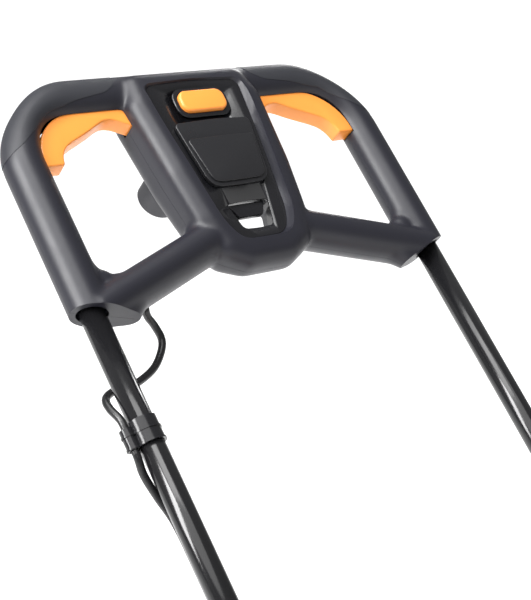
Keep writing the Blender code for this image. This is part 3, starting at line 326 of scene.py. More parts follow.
def finish(name, colour, gloss, grain_size=1500.0, depth=0.00003, patch_size=25.0, worn=None, metallic=0.0,
           coat=0.0):
    """A finish with a fine relief; gloss is its roughness from the shiniest patches to the dullest."""
    made = bpy.data.materials.new(name)
    made.use_nodes = True
    nodes, links = made.node_tree.nodes, made.node_tree.links
    shader = nodes["Principled BSDF"]
    shader.inputs["Metallic"].default_value = metallic
    shader.inputs["Coat Weight"].default_value = coat
    shader.inputs["Coat Roughness"].default_value = 0.08
    place = nodes.new("ShaderNodeTexCoord")
    relief = nodes.new("ShaderNodeGroup")
    relief.node_tree = surface
    relief.inputs["Grain Size"].default_value = grain_size
    relief.inputs["Patch Size"].default_value = patch_size
    links.new(place.outputs["Object"], relief.inputs["Vector"])
    sheen = nodes.new("ShaderNodeMapRange")
    sheen.inputs["From Min"].default_value = 0.3
    sheen.inputs["From Max"].default_value = 0.7
    sheen.inputs["To Min"].default_value = gloss[0]
    sheen.inputs["To Max"].default_value = gloss[1]
    links.new(relief.outputs["Patches"], sheen.inputs["Value"])
    links.new(sheen.outputs["Result"], shader.inputs["Roughness"])
    tint = nodes.new("ShaderNodeMix")
    tint.data_type = "RGBA"
    tint.inputs["A"].default_value = (*colour, 1.0)
    tint.inputs["B"].default_value = (*(worn or [c * 0.8 for c in colour]), 1.0)
    links.new(relief.outputs["Patches"], tint.inputs["Factor"])
    links.new(tint.outputs["Result"], shader.inputs["Base Color"])
    if depth:
        bump = nodes.new("ShaderNodeBump")
        bump.inputs["Distance"].default_value = depth
        bump.inputs["Strength"].default_value = 1.0
        links.new(relief.outputs["Grain"], bump.inputs["Height"])
        links.new(bump.outputs["Normal"], shader.inputs["Normal"])
    return made


def dressed(material, *pieces):
    """Gives pieces a finish."""
    for piece in pieces:
        piece.data.materials.clear()
        piece.data.materials.append(material)


satin_black = finish("satin black moulding", (0.013, 0.013, 0.020), (0.38, 0.46), 1300.0, 0.00004)
dressed(satin_black, *shells)

# Corner grips. Darker, duller skins moulded over the outside of each bend, so that the palm doesn't
# slip; each stands a hair proud of the housing along its seam.
GRIP_SEAM = [(0.0745, 0.2600), (0.0745, 0.2260), (0.0790, 0.2140), (0.0910, 0.2060), (0.1240, 0.2010),
             (0.1560, 0.1915), (0.1770, 0.1730), (0.1940, 0.1590), (0.2120, 0.1500), (0.2450, 0.1470),
             (0.2450, 0.2600)]
soft_grip = finish("soft grip", (0.022, 0.023, 0.029), (0.48, 0.58), 2200.0, 0.00005)
for side, hand in ((-1, "right"), (1, "left")):
    skin_mesh = grip_form.copy()
    shape = bmesh.new()
    shape.from_mesh(skin_mesh)
    bpy.data.meshes.remove(skin_mesh)
    far = [v for v in shape.verts if v.co.x * side < 0.050 or v.co.y < 0.120]
    bmesh.ops.delete(shape, geom=far, context="VERTS")
    bmesh.ops.holes_fill(shape, edges=[e for e in shape.edges if e.is_boundary], sides=0)
    shape.normal_update()
    for vert, push in [(v, v.normal.copy()) for v in shape.verts]:
        vert.co += push * 0.00035
    skin = finished(f"corner_grip_{hand}_skin", shape)
    region = bmesh.new()
    points = [(side * x, y) for x, y in GRIP_SEAM]
    slab(region, points, -0.040, 0.040, 0.0040, 4)
    bmesh.ops.recalc_face_normals(region, faces=region.faces)
    worked(skin, finished("seam", region), "INTERSECT")
    worked(skin, lever_slots, keep_tool=True)
    skin.data.transform(handle_at)
    skin.data.shade_smooth()
    skin.data.set_sharp_from_angle(angle=math.radians(50))
    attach(skin, "handle")
    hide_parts(f"corner_grip_{hand}")
    dressed(soft_grip, skin)
bpy.data.meshes.remove(grip_form)
bpy.data.objects.remove(lever_slots)

# Switch levers. Orange mouldings that follow the inside of each bend; a squeeze from the fingers
# turns them about a pin by the hub. Their edges are well rounded.


def smooth_path(points, spacing):
    """Points at an even spacing along a smooth curve through the given ones."""
    padded = [2 * points[0] - points[1]] + list(points) + [2 * points[-1] - points[-2]]
    dense = []
    for a, b, c, d in zip(padded, padded[1:], padded[2:], padded[3:]):
        for step in range(40):
            t = step / 40
            dense.append(0.5 * ((2 * b) + (c - a) * t + (2 * a - 5 * b + 4 * c - d) * t * t
                                + (3 * b - 3 * c + d - a) * t ** 3))
    kept, run = [dense[0]], 0.0
    for near, far in zip(dense, dense[1:]):
        run += (far - near).length
        if run >= spacing and (far - points[-1]).length > spacing / 2:
            kept.append(far)
            run = 0.0
    return kept + [points[-1]]


inner_edge = smooth_path([Vector(p) for p in (
    (0.1580, 0.1390), (0.1550, 0.1490), (0.1490, 0.1570), (0.1400, 0.1625), (0.1280, 0.1680), (0.1150, 0.1742),
    (0.1050, 0.1795), (0.0975, 0.1818), (0.0890, 0.1808), (0.0800, 0.1765), (0.0720, 0.1725),
    (0.0600, 0.1700))], 0.0025)
outer_edge = [BEND + Vector((math.cos(a), math.sin(a))) * 0.0528 for a in (math.pi / 2 * k / 12 for k in range(13))]
LEVER = [tuple(p) for p in inner_edge] + [(0.0600, 0.1950)] + [tuple(p) for p in reversed(outer_edge)]
LEVER.append((BEND.x + 0.0528, 0.1390))
orange = finish("orange moulding", (0.95, 0.325, 0.055), (0.28, 0.36), 900.0, 0.00002, 30.0, (0.94, 0.305, 0.050))
for side, hand in ((-1, "right"), (1, "left")):
    shape = bmesh.new()
    slab(shape, [(side * x, y) for x, y in LEVER], -0.0085, 0.0085)
    bmesh.ops.recalc_face_normals(shape, faces=shape.faces)
    eased(shape, 0.0016, 4, 60)
    lever = finished(f"switch_lever_{hand}_skin", shape, handle_at, 30)
    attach(lever, f"lever_{hand}")
    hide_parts(f"switch_lever_{hand}")
    dressed(orange, lever)

# Control face. A glossy black plate sunk in the hub, with an oval rim round the start button, a
# raised blank cover plate and, below it, the window that the extension lead is looped through.
FACE_Z = -0.0052
gloss_black = finish("gloss black moulding", (0.010, 0.010, 0.012), (0.16, 0.24), 500.0, 0.00001, 18.0)
face = bmesh.new()
slab(face, [(x * 0.918, y * 0.958) for x, y in RECESS], FACE_Z - 0.0022, FACE_Z, 0.0095, 6)
bmesh.ops.recalc_face_normals(face, faces=face.faces)
panel = finished("control_panel_skin", face)
cut = bmesh.new()
slab(cut, POCKET, -0.03, 0.02, 0.0045, 4)
slab(cut, [(0.0260, 0.0745), (-0.0260, 0.0745), (-0.0260, 0.0500), (0.0260, 0.0500)], -0.03, 0.02, 0.0090, 6)
bmesh.ops.recalc_face_normals(cut, faces=cut.faces)
worked(panel, finished("openings", cut))
panel.data.transform(panel_at)
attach(panel, "handle")
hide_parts("control_panel")
dressed(gloss_black, panel)

plate = bmesh.new()
slab(plate, mirrored([(0.0, 0.0415), (0.0427, 0.0400), (0.0345, -0.0230), (0.0270, -0.0310), (0.0, -0.0318)]),
     FACE_Z + 0.0002, FACE_Z + 0.0046, 0.0060, 6)
bmesh.ops.recalc_face_normals(plate, faces=plate.faces)
eased(plate, 0.0009, 3, 60)
pad = bmesh.new()
slab(pad, mirrored([(0.0, 0.0215), (0.0375, 0.0205), (0.0300, -0.0230), (0.0240, -0.0270), (0.0, -0.0275)]),
     FACE_Z + 0.0030, FACE_Z + 0.0066, 0.0050, 6)
bmesh.ops.recalc_face_normals(pad, faces=pad.faces)
eased(pad, 0.0008, 3, 60)
cover = worked(finished("panel_cover_skin", plate), finished("pad", pad), "UNION")
cover.data.transform(panel_at)
cover.data.shade_smooth()
cover.data.set_sharp_from_angle(angle=math.radians(30))
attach(cover, "handle")
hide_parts("panel_cover")
dressed(finish("cover plate", (0.014, 0.014, 0.016), (0.26, 0.34), 1300.0, 0.00002), cover)

rim = bmesh.new()
slab(rim, [(0.0305, 0.0785), (-0.0305, 0.0785), (-0.0305, 0.0460), (0.0305, 0.0460)], FACE_Z + 0.0002,
     FACE_Z + 0.0030, 0.0120, 8)
bmesh.ops.recalc_face_normals(rim, faces=rim.faces)
eased(rim, 0.0012, 3, 60)
hole = bmesh.new()
slab(hole, [(0.0262, 0.0743), (-0.0262, 0.0743), (-0.0262, 0.0502), (0.0262, 0.0502)], -0.03, 0.02, 0.0092, 8)
bmesh.ops.recalc_face_normals(hole, faces=hole.faces)
bezel = worked(finished("button_bezel_skin", rim), finished("hole", hole))
bezel.data.transform(panel_at)
bezel.data.shade_smooth()
bezel.data.set_sharp_from_angle(angle=math.radians(30))
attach(bezel, "handle")
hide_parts("button_bezel")
dressed(gloss_black, bezel)

# Start button. An orange push button with a domed, well rounded cap, sprung from below.
cap = bmesh.new()
slab(cap, [(0.0255, 0.0738), (-0.0255, 0.0738), (-0.0255, 0.0506), (0.0255, 0.0506)], -0.0145, 0.0020, 0.0088, 8)
bmesh.ops.recalc_face_normals(cap, faces=cap.faces)
eased(cap, 0.0024, 5, 60)
button = finished("start_button_skin", cap, panel_at, 30)
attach(button, "button")
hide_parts("start_button")
dressed(orange, button)

# Lead hook. A belled pocket through the hub with a stiff tongue across its upper side: a loop of
# the extension lead is pushed up through the pocket and dropped over the tongue.
hook = finished("lead_hook_skin", pocket_tool(1.06, FACE_Z - 0.0003, -0.0300))
worked(hook, finished("bore", pocket_tool(1.00, 0.0300, -0.0560)))
tongue = bmesh.new()
top = slab(tongue, [(0.0205, -0.0480), (-0.0205, -0.0480), (-0.0138, -0.0615), (0.0138, -0.0615)], -0.0150, -0.0085,
           0.0015, 3)
bmesh.ops.recalc_face_normals(tongue, faces=tongue.faces)
eased(tongue, 0.0010, 3, 60)
worked(hook, finished("tongue", tongue), "UNION")
hook.data.transform(panel_at)
hook.data.shade_smooth()
hook.data.set_sharp_from_angle(angle=math.radians(30))
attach(hook, "handle")
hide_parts("lead_hook")
dressed(gloss_black, hook)

# Mains inlet. A round black shroud under the hub, open downwards, that an extension lead's
# socket plugs into; it ends in a plain rolled lip.
inlet = bmesh.new()
profile = [(0.0, -0.0290), (0.0208, -0.0290), (0.0208, -0.0560), (0.0202, -0.0570), (0.0188, -0.0570),
           (0.0182, -0.0560), (0.0182, -0.0345), (0.0, -0.0345)]
rim_verts = [inlet.verts.new((r, 0.0, z)) for r, z in profile]
edges = [inlet.edges.new(pair) for pair in zip(rim_verts, rim_verts[1:])]
bmesh.ops.spin(inlet, geom=rim_verts + edges, cent=(0, 0, 0), axis=(0, 0, 1), angle=2 * math.pi, steps=64,
               use_merge=True)
bmesh.ops.remove_doubles(inlet, verts=inlet.verts, dist=0.00002)
bmesh.ops.recalc_face_normals(inlet, faces=inlet.faces)
shroud = finished("mains_inlet_skin", inlet, handle_at @ Matrix.Translation((-0.038, 0.129, 0.0)), 30)
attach(shroud, "handle")
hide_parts("mains_inlet")
dressed(satin_black, shroud)

# Handle tubes. Round steel, 22 mm, painted gloss black. The upper pair runs up into the housing; the
# lower pair stands inside it, from the deck's sockets to the fold.
LOWER_X = 0.162
TUBE_R = 0.011
tube_paint = finish("gloss black paint", (0.009, 0.009, 0.010), (0.12, 0.20), 260.0, 0.00002, 9.0)
for side, hand in ((-1, "right"), (1, "left")):
    for name, x, low, high, body in ((f"upper_tube_{hand}", TUBE_X, FOLD - 0.028, 0.055, "handle"),
                                     (f"lower_tube_{hand}", LOWER_X, -0.95, FOLD + 0.024, "deck")):
        shape = bmesh.new()
        bmesh.ops.create_cone(shape, cap_ends=False, segments=64, radius1=TUBE_R, radius2=TUBE_R, depth=high - low,
                              matrix=Matrix.Translation((side * x, (low + high) / 2, 0.0))
                              @ Matrix.Rotation(-math.pi / 2, 4, "X"))
        tube = finished(name + "_skin", shape, handle_at)
        wall = tube.modifiers.new("wall", "SOLIDIFY")
        wall.thickness = 0.0015
        wall.offset = -1.0
        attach(tube, body)
        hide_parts(name)
        dressed(tube_paint, tube)

# Motor lead. One 7 mm rubber-sheathed lead leaves the underside of the cross bar, hangs in a loop,
# passes behind the upper tube and runs down the tubes to the motor. It steps across from the upper tube to the lower
# one at the fold, and it is one fixed piece that no body carries.
LEAD_R = 0.0035
to_handle = handle_at.inverted() @ mower_at


def sweep(shape, path, radius, sides=20):
    """Adds a closed round bar along points."""
    before = (path[1] - path[0]).normalized()
    ring = bmesh.ops.create_circle(
        shape, cap_ends=True, segments=sides, radius=radius,
        matrix=Matrix.Translation(path[0]) @ before.to_track_quat("Z", "Y").to_matrix().to_4x4())["verts"]
    face = ring[0].link_faces[0]
    for index in range(1, len(path)):
        lifted = bmesh.ops.extrude_face_region(shape, geom=[face], use_keep_orig=index == 1)["geom"]
        face = next(g for g in lifted if isinstance(g, bmesh.types.BMFace))
        ring = face.verts[:]
        after = (path[min(index + 1, len(path) - 1)] - path[index - 1]).normalized()
        bmesh.ops.translate(shape, vec=path[index] - path[index - 1], verts=ring)
        bmesh.ops.rotate(shape, cent=path[index], matrix=before.rotation_difference(after).to_matrix(), verts=ring)
        before = after


LEAD_X = -TUBE_X - 0.0155
route = [Vector(p) for p in (
    (-0.1305, 0.0115, -0.0060), (-0.1330, 0.0040, -0.0070), (-0.1352, -0.0040, -0.0100),
    (-0.1330, -0.0095, -0.0155), (-0.1270, -0.0160, -0.0210), (-0.1228, -0.0279, -0.0260),
    (-0.1278, -0.0389, -0.0280), (-0.1412, -0.0519, -0.0280), (-0.1606, -0.0613, -0.0260),
    (-0.1779, -0.0660, -0.0220), (-0.1940, -0.0685, -0.0180), (-0.2050, -0.0750, -0.0140),
    (-0.2085, -0.0860, -0.0085), (LEAD_X, -0.101, -0.0018), (LEAD_X, -0.117, -0.0018),
    (LEAD_X, -0.133, -0.0018), (-0.2052, -0.147, -0.0085), (-0.1985, -0.166, -0.0145),
    (-0.1930, -0.19, -0.0155), (-TUBE_X, -0.23, -0.0155), (-TUBE_X, -0.30, -0.0155),
    (-TUBE_X, -0.38, -0.0155), (-TUBE_X, -0.44, -0.0155),
    (-0.1850, -0.470, -0.0164), (-0.1770, FOLD + 0.010, -0.0172), (-0.1770, FOLD - 0.010, -0.0172),
    (-0.1700, -0.540, -0.0165), (-0.1630, -0.575, -0.0155), (-LOWER_X, -0.61, -0.0155),
    (-LOWER_X, -0.66, -0.0155), (-LOWER_X, -0.71, -0.0155), (-LOWER_X, -0.76, -0.0155),
    (-0.1590, -0.795, -0.0160), (-0.1490, -0.830, -0.0110), (-0.1460, -0.855, -0.0010))]
entry = Vector((-0.0760, 0.1154, 0.2009))
entry_run = Vector((0.0100, -0.0220, -0.0020))
route += [to_handle @ Vector(p) for p in ((-0.137, 0.222, 0.228), (-0.115, 0.180, 0.210))]
route += [to_handle @ (entry + entry_run * k) for k in (-1.0, -0.5, 0.0, 0.5, 1.0)]
sheath = bmesh.new()
sweep(sheath, smooth_path(route, 0.003), LEAD_R)
bmesh.ops.recalc_face_normals(sheath, faces=sheath.faces)
lead = finished("motor_lead_skin", sheath, handle_at, 60)
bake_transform(lead)
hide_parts("motor_lead_upper", "motor_lead_lower")
rubber_sheath = finish("lead sheath", (0.010, 0.010, 0.011), (0.24, 0.34), 700.0, 0.00002, 40.0)
dressed(rubber_sheath, lead)

# Lead clips. A thin moulded band snaps round each tube and holds the lead in a smaller ring; a rib
# runs round the middle of it, and its two ends stand out where it opens.
for name, tube_x, lead_x, lead_z, low, high, body in (
        ("lead_clip_upper", -TUBE_X, LEAD_X, -0.0018, -0.1280, -0.1055, "handle"),
        ("lead_clip_lower", -LOWER_X, -LOWER_X, -0.0155, -0.7200, -0.6960, "deck")):
    middle = (low + high) / 2
    band = bmesh.new()
    rod(band, 0.0128, (tube_x, low + 0.001, 0.0), (tube_x, high, 0.0), 48)
    clip = finished(name + "_skin", band)
    extras = bmesh.new()
    rod(extras, 0.0058, (lead_x, low, lead_z), (lead_x, high - 0.004, lead_z), 32)
    worked(clip, finished("ring", extras), "UNION")
    for rib, reach in ((low + 0.0005, 0.0), (middle, 0.0)):
        extras = bmesh.new()
        rod(extras, 0.0136, (tube_x, rib, 0.0), (tube_x, rib + 0.0016, 0.0), 48)
        worked(clip, finished("rib", extras), "UNION")
        extras = bmesh.new()
        rod(extras, 0.0065, (lead_x, rib, lead_z), (lead_x, rib + 0.0016, lead_z), 32)
        worked(clip, finished("rib", extras), "UNION")
    space = bmesh.new()
    rod(space, TUBE_R + 0.0003, (tube_x, low - 0.01, 0.0), (tube_x, high + 0.01, 0.0), 48)
    worked(clip, finished("tube_space", space), "DIFFERENCE")
    space = bmesh.new()
    rod(space, LEAD_R + 0.0008, (lead_x, low - 0.01, lead_z), (lead_x, high + 0.01, lead_z), 32)
    worked(clip, finished("lead_space", space), "DIFFERENCE")
    clip.data.transform(handle_at)
    clip.data.shade_smooth()
    clip.data.set_sharp_from_angle(angle=math.radians(30))
    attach(clip, body)
    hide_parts(name)
    dressed(gloss_black, clip)

# Fold. A bolt through each pair of tubes carries a moulded saddle between them and a wing knob
# outside; slackening the knobs lets the upper handle fold over the deck.
steel = finish("bright steel", (0.58, 0.58, 0.60), (0.22, 0.36), 400.0, 0.00001, 60.0, metallic=1.0)
for side, hand in ((-1, "right"), (1, "left")):
    head_x, face_x = LOWER_X - TUBE_R - 0.0003, TUBE_X + TUBE_R + 0.0003
    bolt = bmesh.new()
    rod(bolt, 0.0030, (side * head_x, FOLD, 0.0), (side * 0.2183, FOLD, 0.0), 24)
    bmesh.ops.create_uvsphere(bolt, u_segments=32, v_segments=16, radius=0.0063,
                              matrix=Matrix.Translation((side * (head_x - 0.0002), FOLD, 0.0))
                              @ Matrix.Diagonal((0.50, 1.0, 1.0, 1.0)))
    shown = finished(f"fold_bolt_{hand}_skin", bolt, handle_at)
    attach(shown, "deck")
    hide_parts(f"fold_bolt_{hand}")
    dressed(steel, shown)
    saddle = bmesh.new()
    bmesh.ops.create_cube(saddle, size=1.0)
    inner, outer = LOWER_X + 0.004, TUBE_X - TUBE_R - 0.0004
    bmesh.ops.scale(saddle, vec=(outer - inner, 0.0178, 0.0178), verts=saddle.verts)
    bmesh.ops.bevel(saddle, geom=saddle.edges[:], offset=0.0022, segments=4, profile=0.5, affect="EDGES",
                    clamp_overlap=True, material=-1)
    bmesh.ops.translate(saddle, vec=(side * (inner + outer) / 2, FOLD, 0.0), verts=saddle.verts)
    spacer = finished(f"fold_spacer_{hand}_skin", saddle)
    space = bmesh.new()
    rod(space, TUBE_R + 0.0003, (side * LOWER_X, FOLD - 0.03, 0.0), (side * LOWER_X, FOLD + 0.03, 0.0), 64)
    worked(spacer, finished("saddle", space))
    spacer.data.transform(handle_at)
    spacer.data.shade_smooth()
    spacer.data.set_sharp_from_angle(angle=math.radians(40))
    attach(spacer, "deck")
    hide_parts(f"fold_spacer_{hand}")
    dressed(satin_black, spacer)
    hub = bmesh.new()
    rod(hub, 0.0120, (side * face_x, FOLD, 0.0), (side * (face_x + 0.0238), FOLD, 0.0), 48, 0.0098)
    eased(hub, 0.0012, 3, 60)
    knob = finished(f"wing_knob_{hand}_skin", hub)
    wings = bmesh.new()
    bmesh.ops.create_cube(wings, size=1.0)
    bmesh.ops.scale(wings, vec=(0.0150, 0.0596, 0.0070), verts=wings.verts)
    bmesh.ops.bevel(wings, geom=wings.edges[:], offset=0.0030, segments=5, profile=0.5, affect="EDGES",
                    clamp_overlap=True, material=-1)
    for vert in wings.verts:
        vert.co.x += 0.0040 * (vert.co.y / 0.030) ** 2
    bmesh.ops.translate(wings, vec=(0.0115, 0.0, 0.0), verts=wings.verts)
    bmesh.ops.scale(wings, vec=(side, 1.0, 1.0), verts=wings.verts)
    bmesh.ops.translate(wings, vec=(side * face_x, FOLD, 0.0), verts=wings.verts)
    bmesh.ops.recalc_face_normals(wings, faces=wings.faces)
    worked(knob, finished("wings", wings), "UNION")
    knob.data.transform(handle_at)
    knob.data.shade_smooth()
    knob.data.set_sharp_from_angle(angle=math.radians(40))
    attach(knob, f"knob_{hand}")
    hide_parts(f"wing_knob_{hand}")
    dressed(satin_black, knob)

# Deck. One orange moulding: a flat top with rounded shoulders and straight skirts round the blade,
# sleeves for the handle, lugs for the flap and a ledge for the grass box.
DECK_PLAN = mirrored([(0.0, -0.2345), (0.120, -0.2345), (0.148, -0.2285), (0.170, -0.2125), (0.1795, -0.192),
                      (0.1795, 0.2150), (0.1715, 0.2345), (0.0, 0.2345)])
shape = bmesh.new()
slab(shape, DECK_PLAN[::-1], 0.0420, 0.1500, 0.0080, 3)
bmesh.ops.recalc_face_normals(shape, faces=shape.faces)
top_edges = [e for e in shape.edges if all(abs(v.co.z - 0.150) < 1e-6 for v in e.verts)]
bmesh.ops.bevel(shape, geom=top_edges, offset=0.0120, segments=6, profile=0.5, affect="EDGES", clamp_overlap=True,
                material=-1)
deck = finished("deck_shell_skin", shape)
shape = bmesh.new()
slab(shape, [(x * 0.976, y * 0.982) for x, y in DECK_PLAN[::-1]], 0.0000, 0.1460, 0.0080, 3)
bmesh.ops.recalc_face_normals(shape, faces=shape.faces)
worked(deck, finished("space", shape))
for size, centre, operation in (
        ((0.220, 0.040, 0.050), (0.0, 0.235, 0.108), "DIFFERENCE"),
        ((0.200, 0.0338, 0.0060), (0.0, 0.248, 0.0620), "UNION"),
        ((0.0080, 0.0160, 0.0260), (0.1320, 0.224, 0.1580), "UNION"),
        ((0.0080, 0.0160, 0.0260), (-0.1320, 0.224, 0.1580), "UNION")):
    shape = bmesh.new()
    bmesh.ops.create_cube(shape, size=1.0)
    bmesh.ops.scale(shape, vec=size, verts=shape.verts)
    bmesh.ops.bevel(shape, geom=shape.edges[:], offset=0.0018, segments=3, profile=0.5, affect="EDGES",
                    clamp_overlap=True, material=-1)
    bmesh.ops.translate(shape, vec=centre, verts=shape.verts)
    worked(deck, finished("block", shape), operation)
for side in (-1, 1):
    shape = bmesh.new()
    rod(shape, 0.0158, (side * LOWER_X, -0.996, 0.0), (side * LOWER_X, -0.8955, 0.0), 48)
    eased(shape, 0.0012, 3, 60)
    worked(deck, finished("sleeve", shape, to_handle.inverted()), "UNION")
    shape = bmesh.new()
    rod(shape, TUBE_R + 0.0003, (side * LOWER_X, -0.9503, 0.0), (side * LOWER_X, -0.86, 0.0), 48)
    worked(deck, finished("bore", shape, to_handle.inverted()))
shape = bmesh.new()
rod(shape, 0.0110, (0.0, 0.0, 0.130), (0.0, 0.0, 0.170), 48)
for y, z in ((-0.186, 0.070), (0.190, 0.085)):
    rod(shape, 0.0053, (-0.3, y, z), (0.3, y, z), 32)
rod(shape, 0.0023, (-0.2, 0.2260, 0.1640), (0.2, 0.2260, 0.1640), 24)
worked(deck, finished("holes", shape))
# shallow grooves frame the deck's shoulders
shape = bmesh.new()
for side in (-1, 1):
    bmesh.ops.create_cube(shape, size=1.0, matrix=Matrix.Translation((side * 0.1795, -0.010, 0.1100))
                          @ Matrix.Diagonal((0.0016, 0.2400, 0.0030, 1.0)))
    bmesh.ops.create_cube(shape, size=1.0, matrix=Matrix.Translation((side * 0.1795, -0.010, 0.0560))
                          @ Matrix.Diagonal((0.0016, 0.2400, 0.0030, 1.0)))
worked(deck, finished("grooves", shape))
deck.data.transform(mower_at)
deck.data.shade_smooth()
deck.data.set_sharp_from_angle(angle=math.radians(30))
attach(deck, "deck")
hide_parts("deck_shell")
deck_orange = finish("deck moulding", (0.92, 0.290, 0.045), (0.34, 0.46), 1100.0, 0.00004, 9.0,
                     (0.90, 0.265, 0.040))
dressed(deck_orange, deck)

# Motor cover. A black hood with a well rounded crown over the motor, slotted for cooling air; it
# stands on the deck, and the motor lead enters its back through a rubber grommet.
COVER_PLAN = mirrored([(0.0, -0.1495), (0.052, -0.1450), (0.086, -0.1200), (0.1080, -0.0640), (0.1150, 0.0100),
                       (0.1080, 0.0720), (0.0830, 0.1120), (0.0480, 0.1290), (0.0, 0.1325)])
shape = bmesh.new()
low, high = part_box("motor_cover")
plan = [(x * (high[0] - 0.0002) / 0.1150, y) for x, y in COVER_PLAN]
front, back = low[1] - blade_y, high[1] - blade_y
plan = [(x, y * (front + 0.0002) / -0.1495 if y < 0 else y * (back - 0.0002) / 0.1325) for x, y in plan]
top = slab(shape, plan[::-1], low[2] + 0.0002, high[2] - 0.0003, 0.0250, 5)
bmesh.ops.recalc_face_normals(shape, faces=shape.faces)
crown = [e for e in shape.edges if all(abs(v.co.z - (high[2] - 0.0003)) < 1e-6 for v in e.verts)]
bmesh.ops.bevel(shape, geom=crown, offset=0.0260, segments=8, profile=0.5, affect="EDGES", clamp_overlap=True,
                material=-1)
hood = finished("motor_cover_skin", shape)
shape = bmesh.new()
slab(shape, [(x * 0.972, y * 0.976) for x, y in plan[::-1]], 0.100, high[2] - 0.0033, 0.0240, 5)
bmesh.ops.recalc_face_normals(shape, faces=shape.faces)
crown = [e for e in shape.edges if all(abs(v.co.z - (high[2] - 0.0033)) < 1e-6 for v in e.verts)]
bmesh.ops.bevel(shape, geom=crown, offset=0.0240, segments=8, profile=0.5, affect="EDGES", clamp_overlap=True,
                material=-1)
worked(hood, finished("space", shape))
shape = bmesh.new()
for index in range(5):
    bmesh.ops.create_cube(shape, size=1.0, matrix=Matrix.Translation((0.0, -0.060 + index * 0.016, 0.286))
                          @ Matrix.Diagonal((0.110, 0.0060, 0.040, 1.0)))
for side in (-1, 1):
    for index in range(4):
        bmesh.ops.create_cube(shape, size=1.0, matrix=Matrix.Translation((side * high[0], 0.0, 0.180 + index * 0.014))
                              @ Matrix.Diagonal((0.0300, 0.0700, 0.0050, 1.0)))
rod(shape, 0.0083, entry - entry_run, entry + entry_run * 0.8, 32)
worked(hood, finished("vents", shape))
hood.data.transform(mower_at)
hood.data.shade_smooth()
hood.data.set_sharp_from_angle(angle=math.radians(30))
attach(hood, "deck")
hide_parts("motor_cover")
dressed(satin_black, hood)

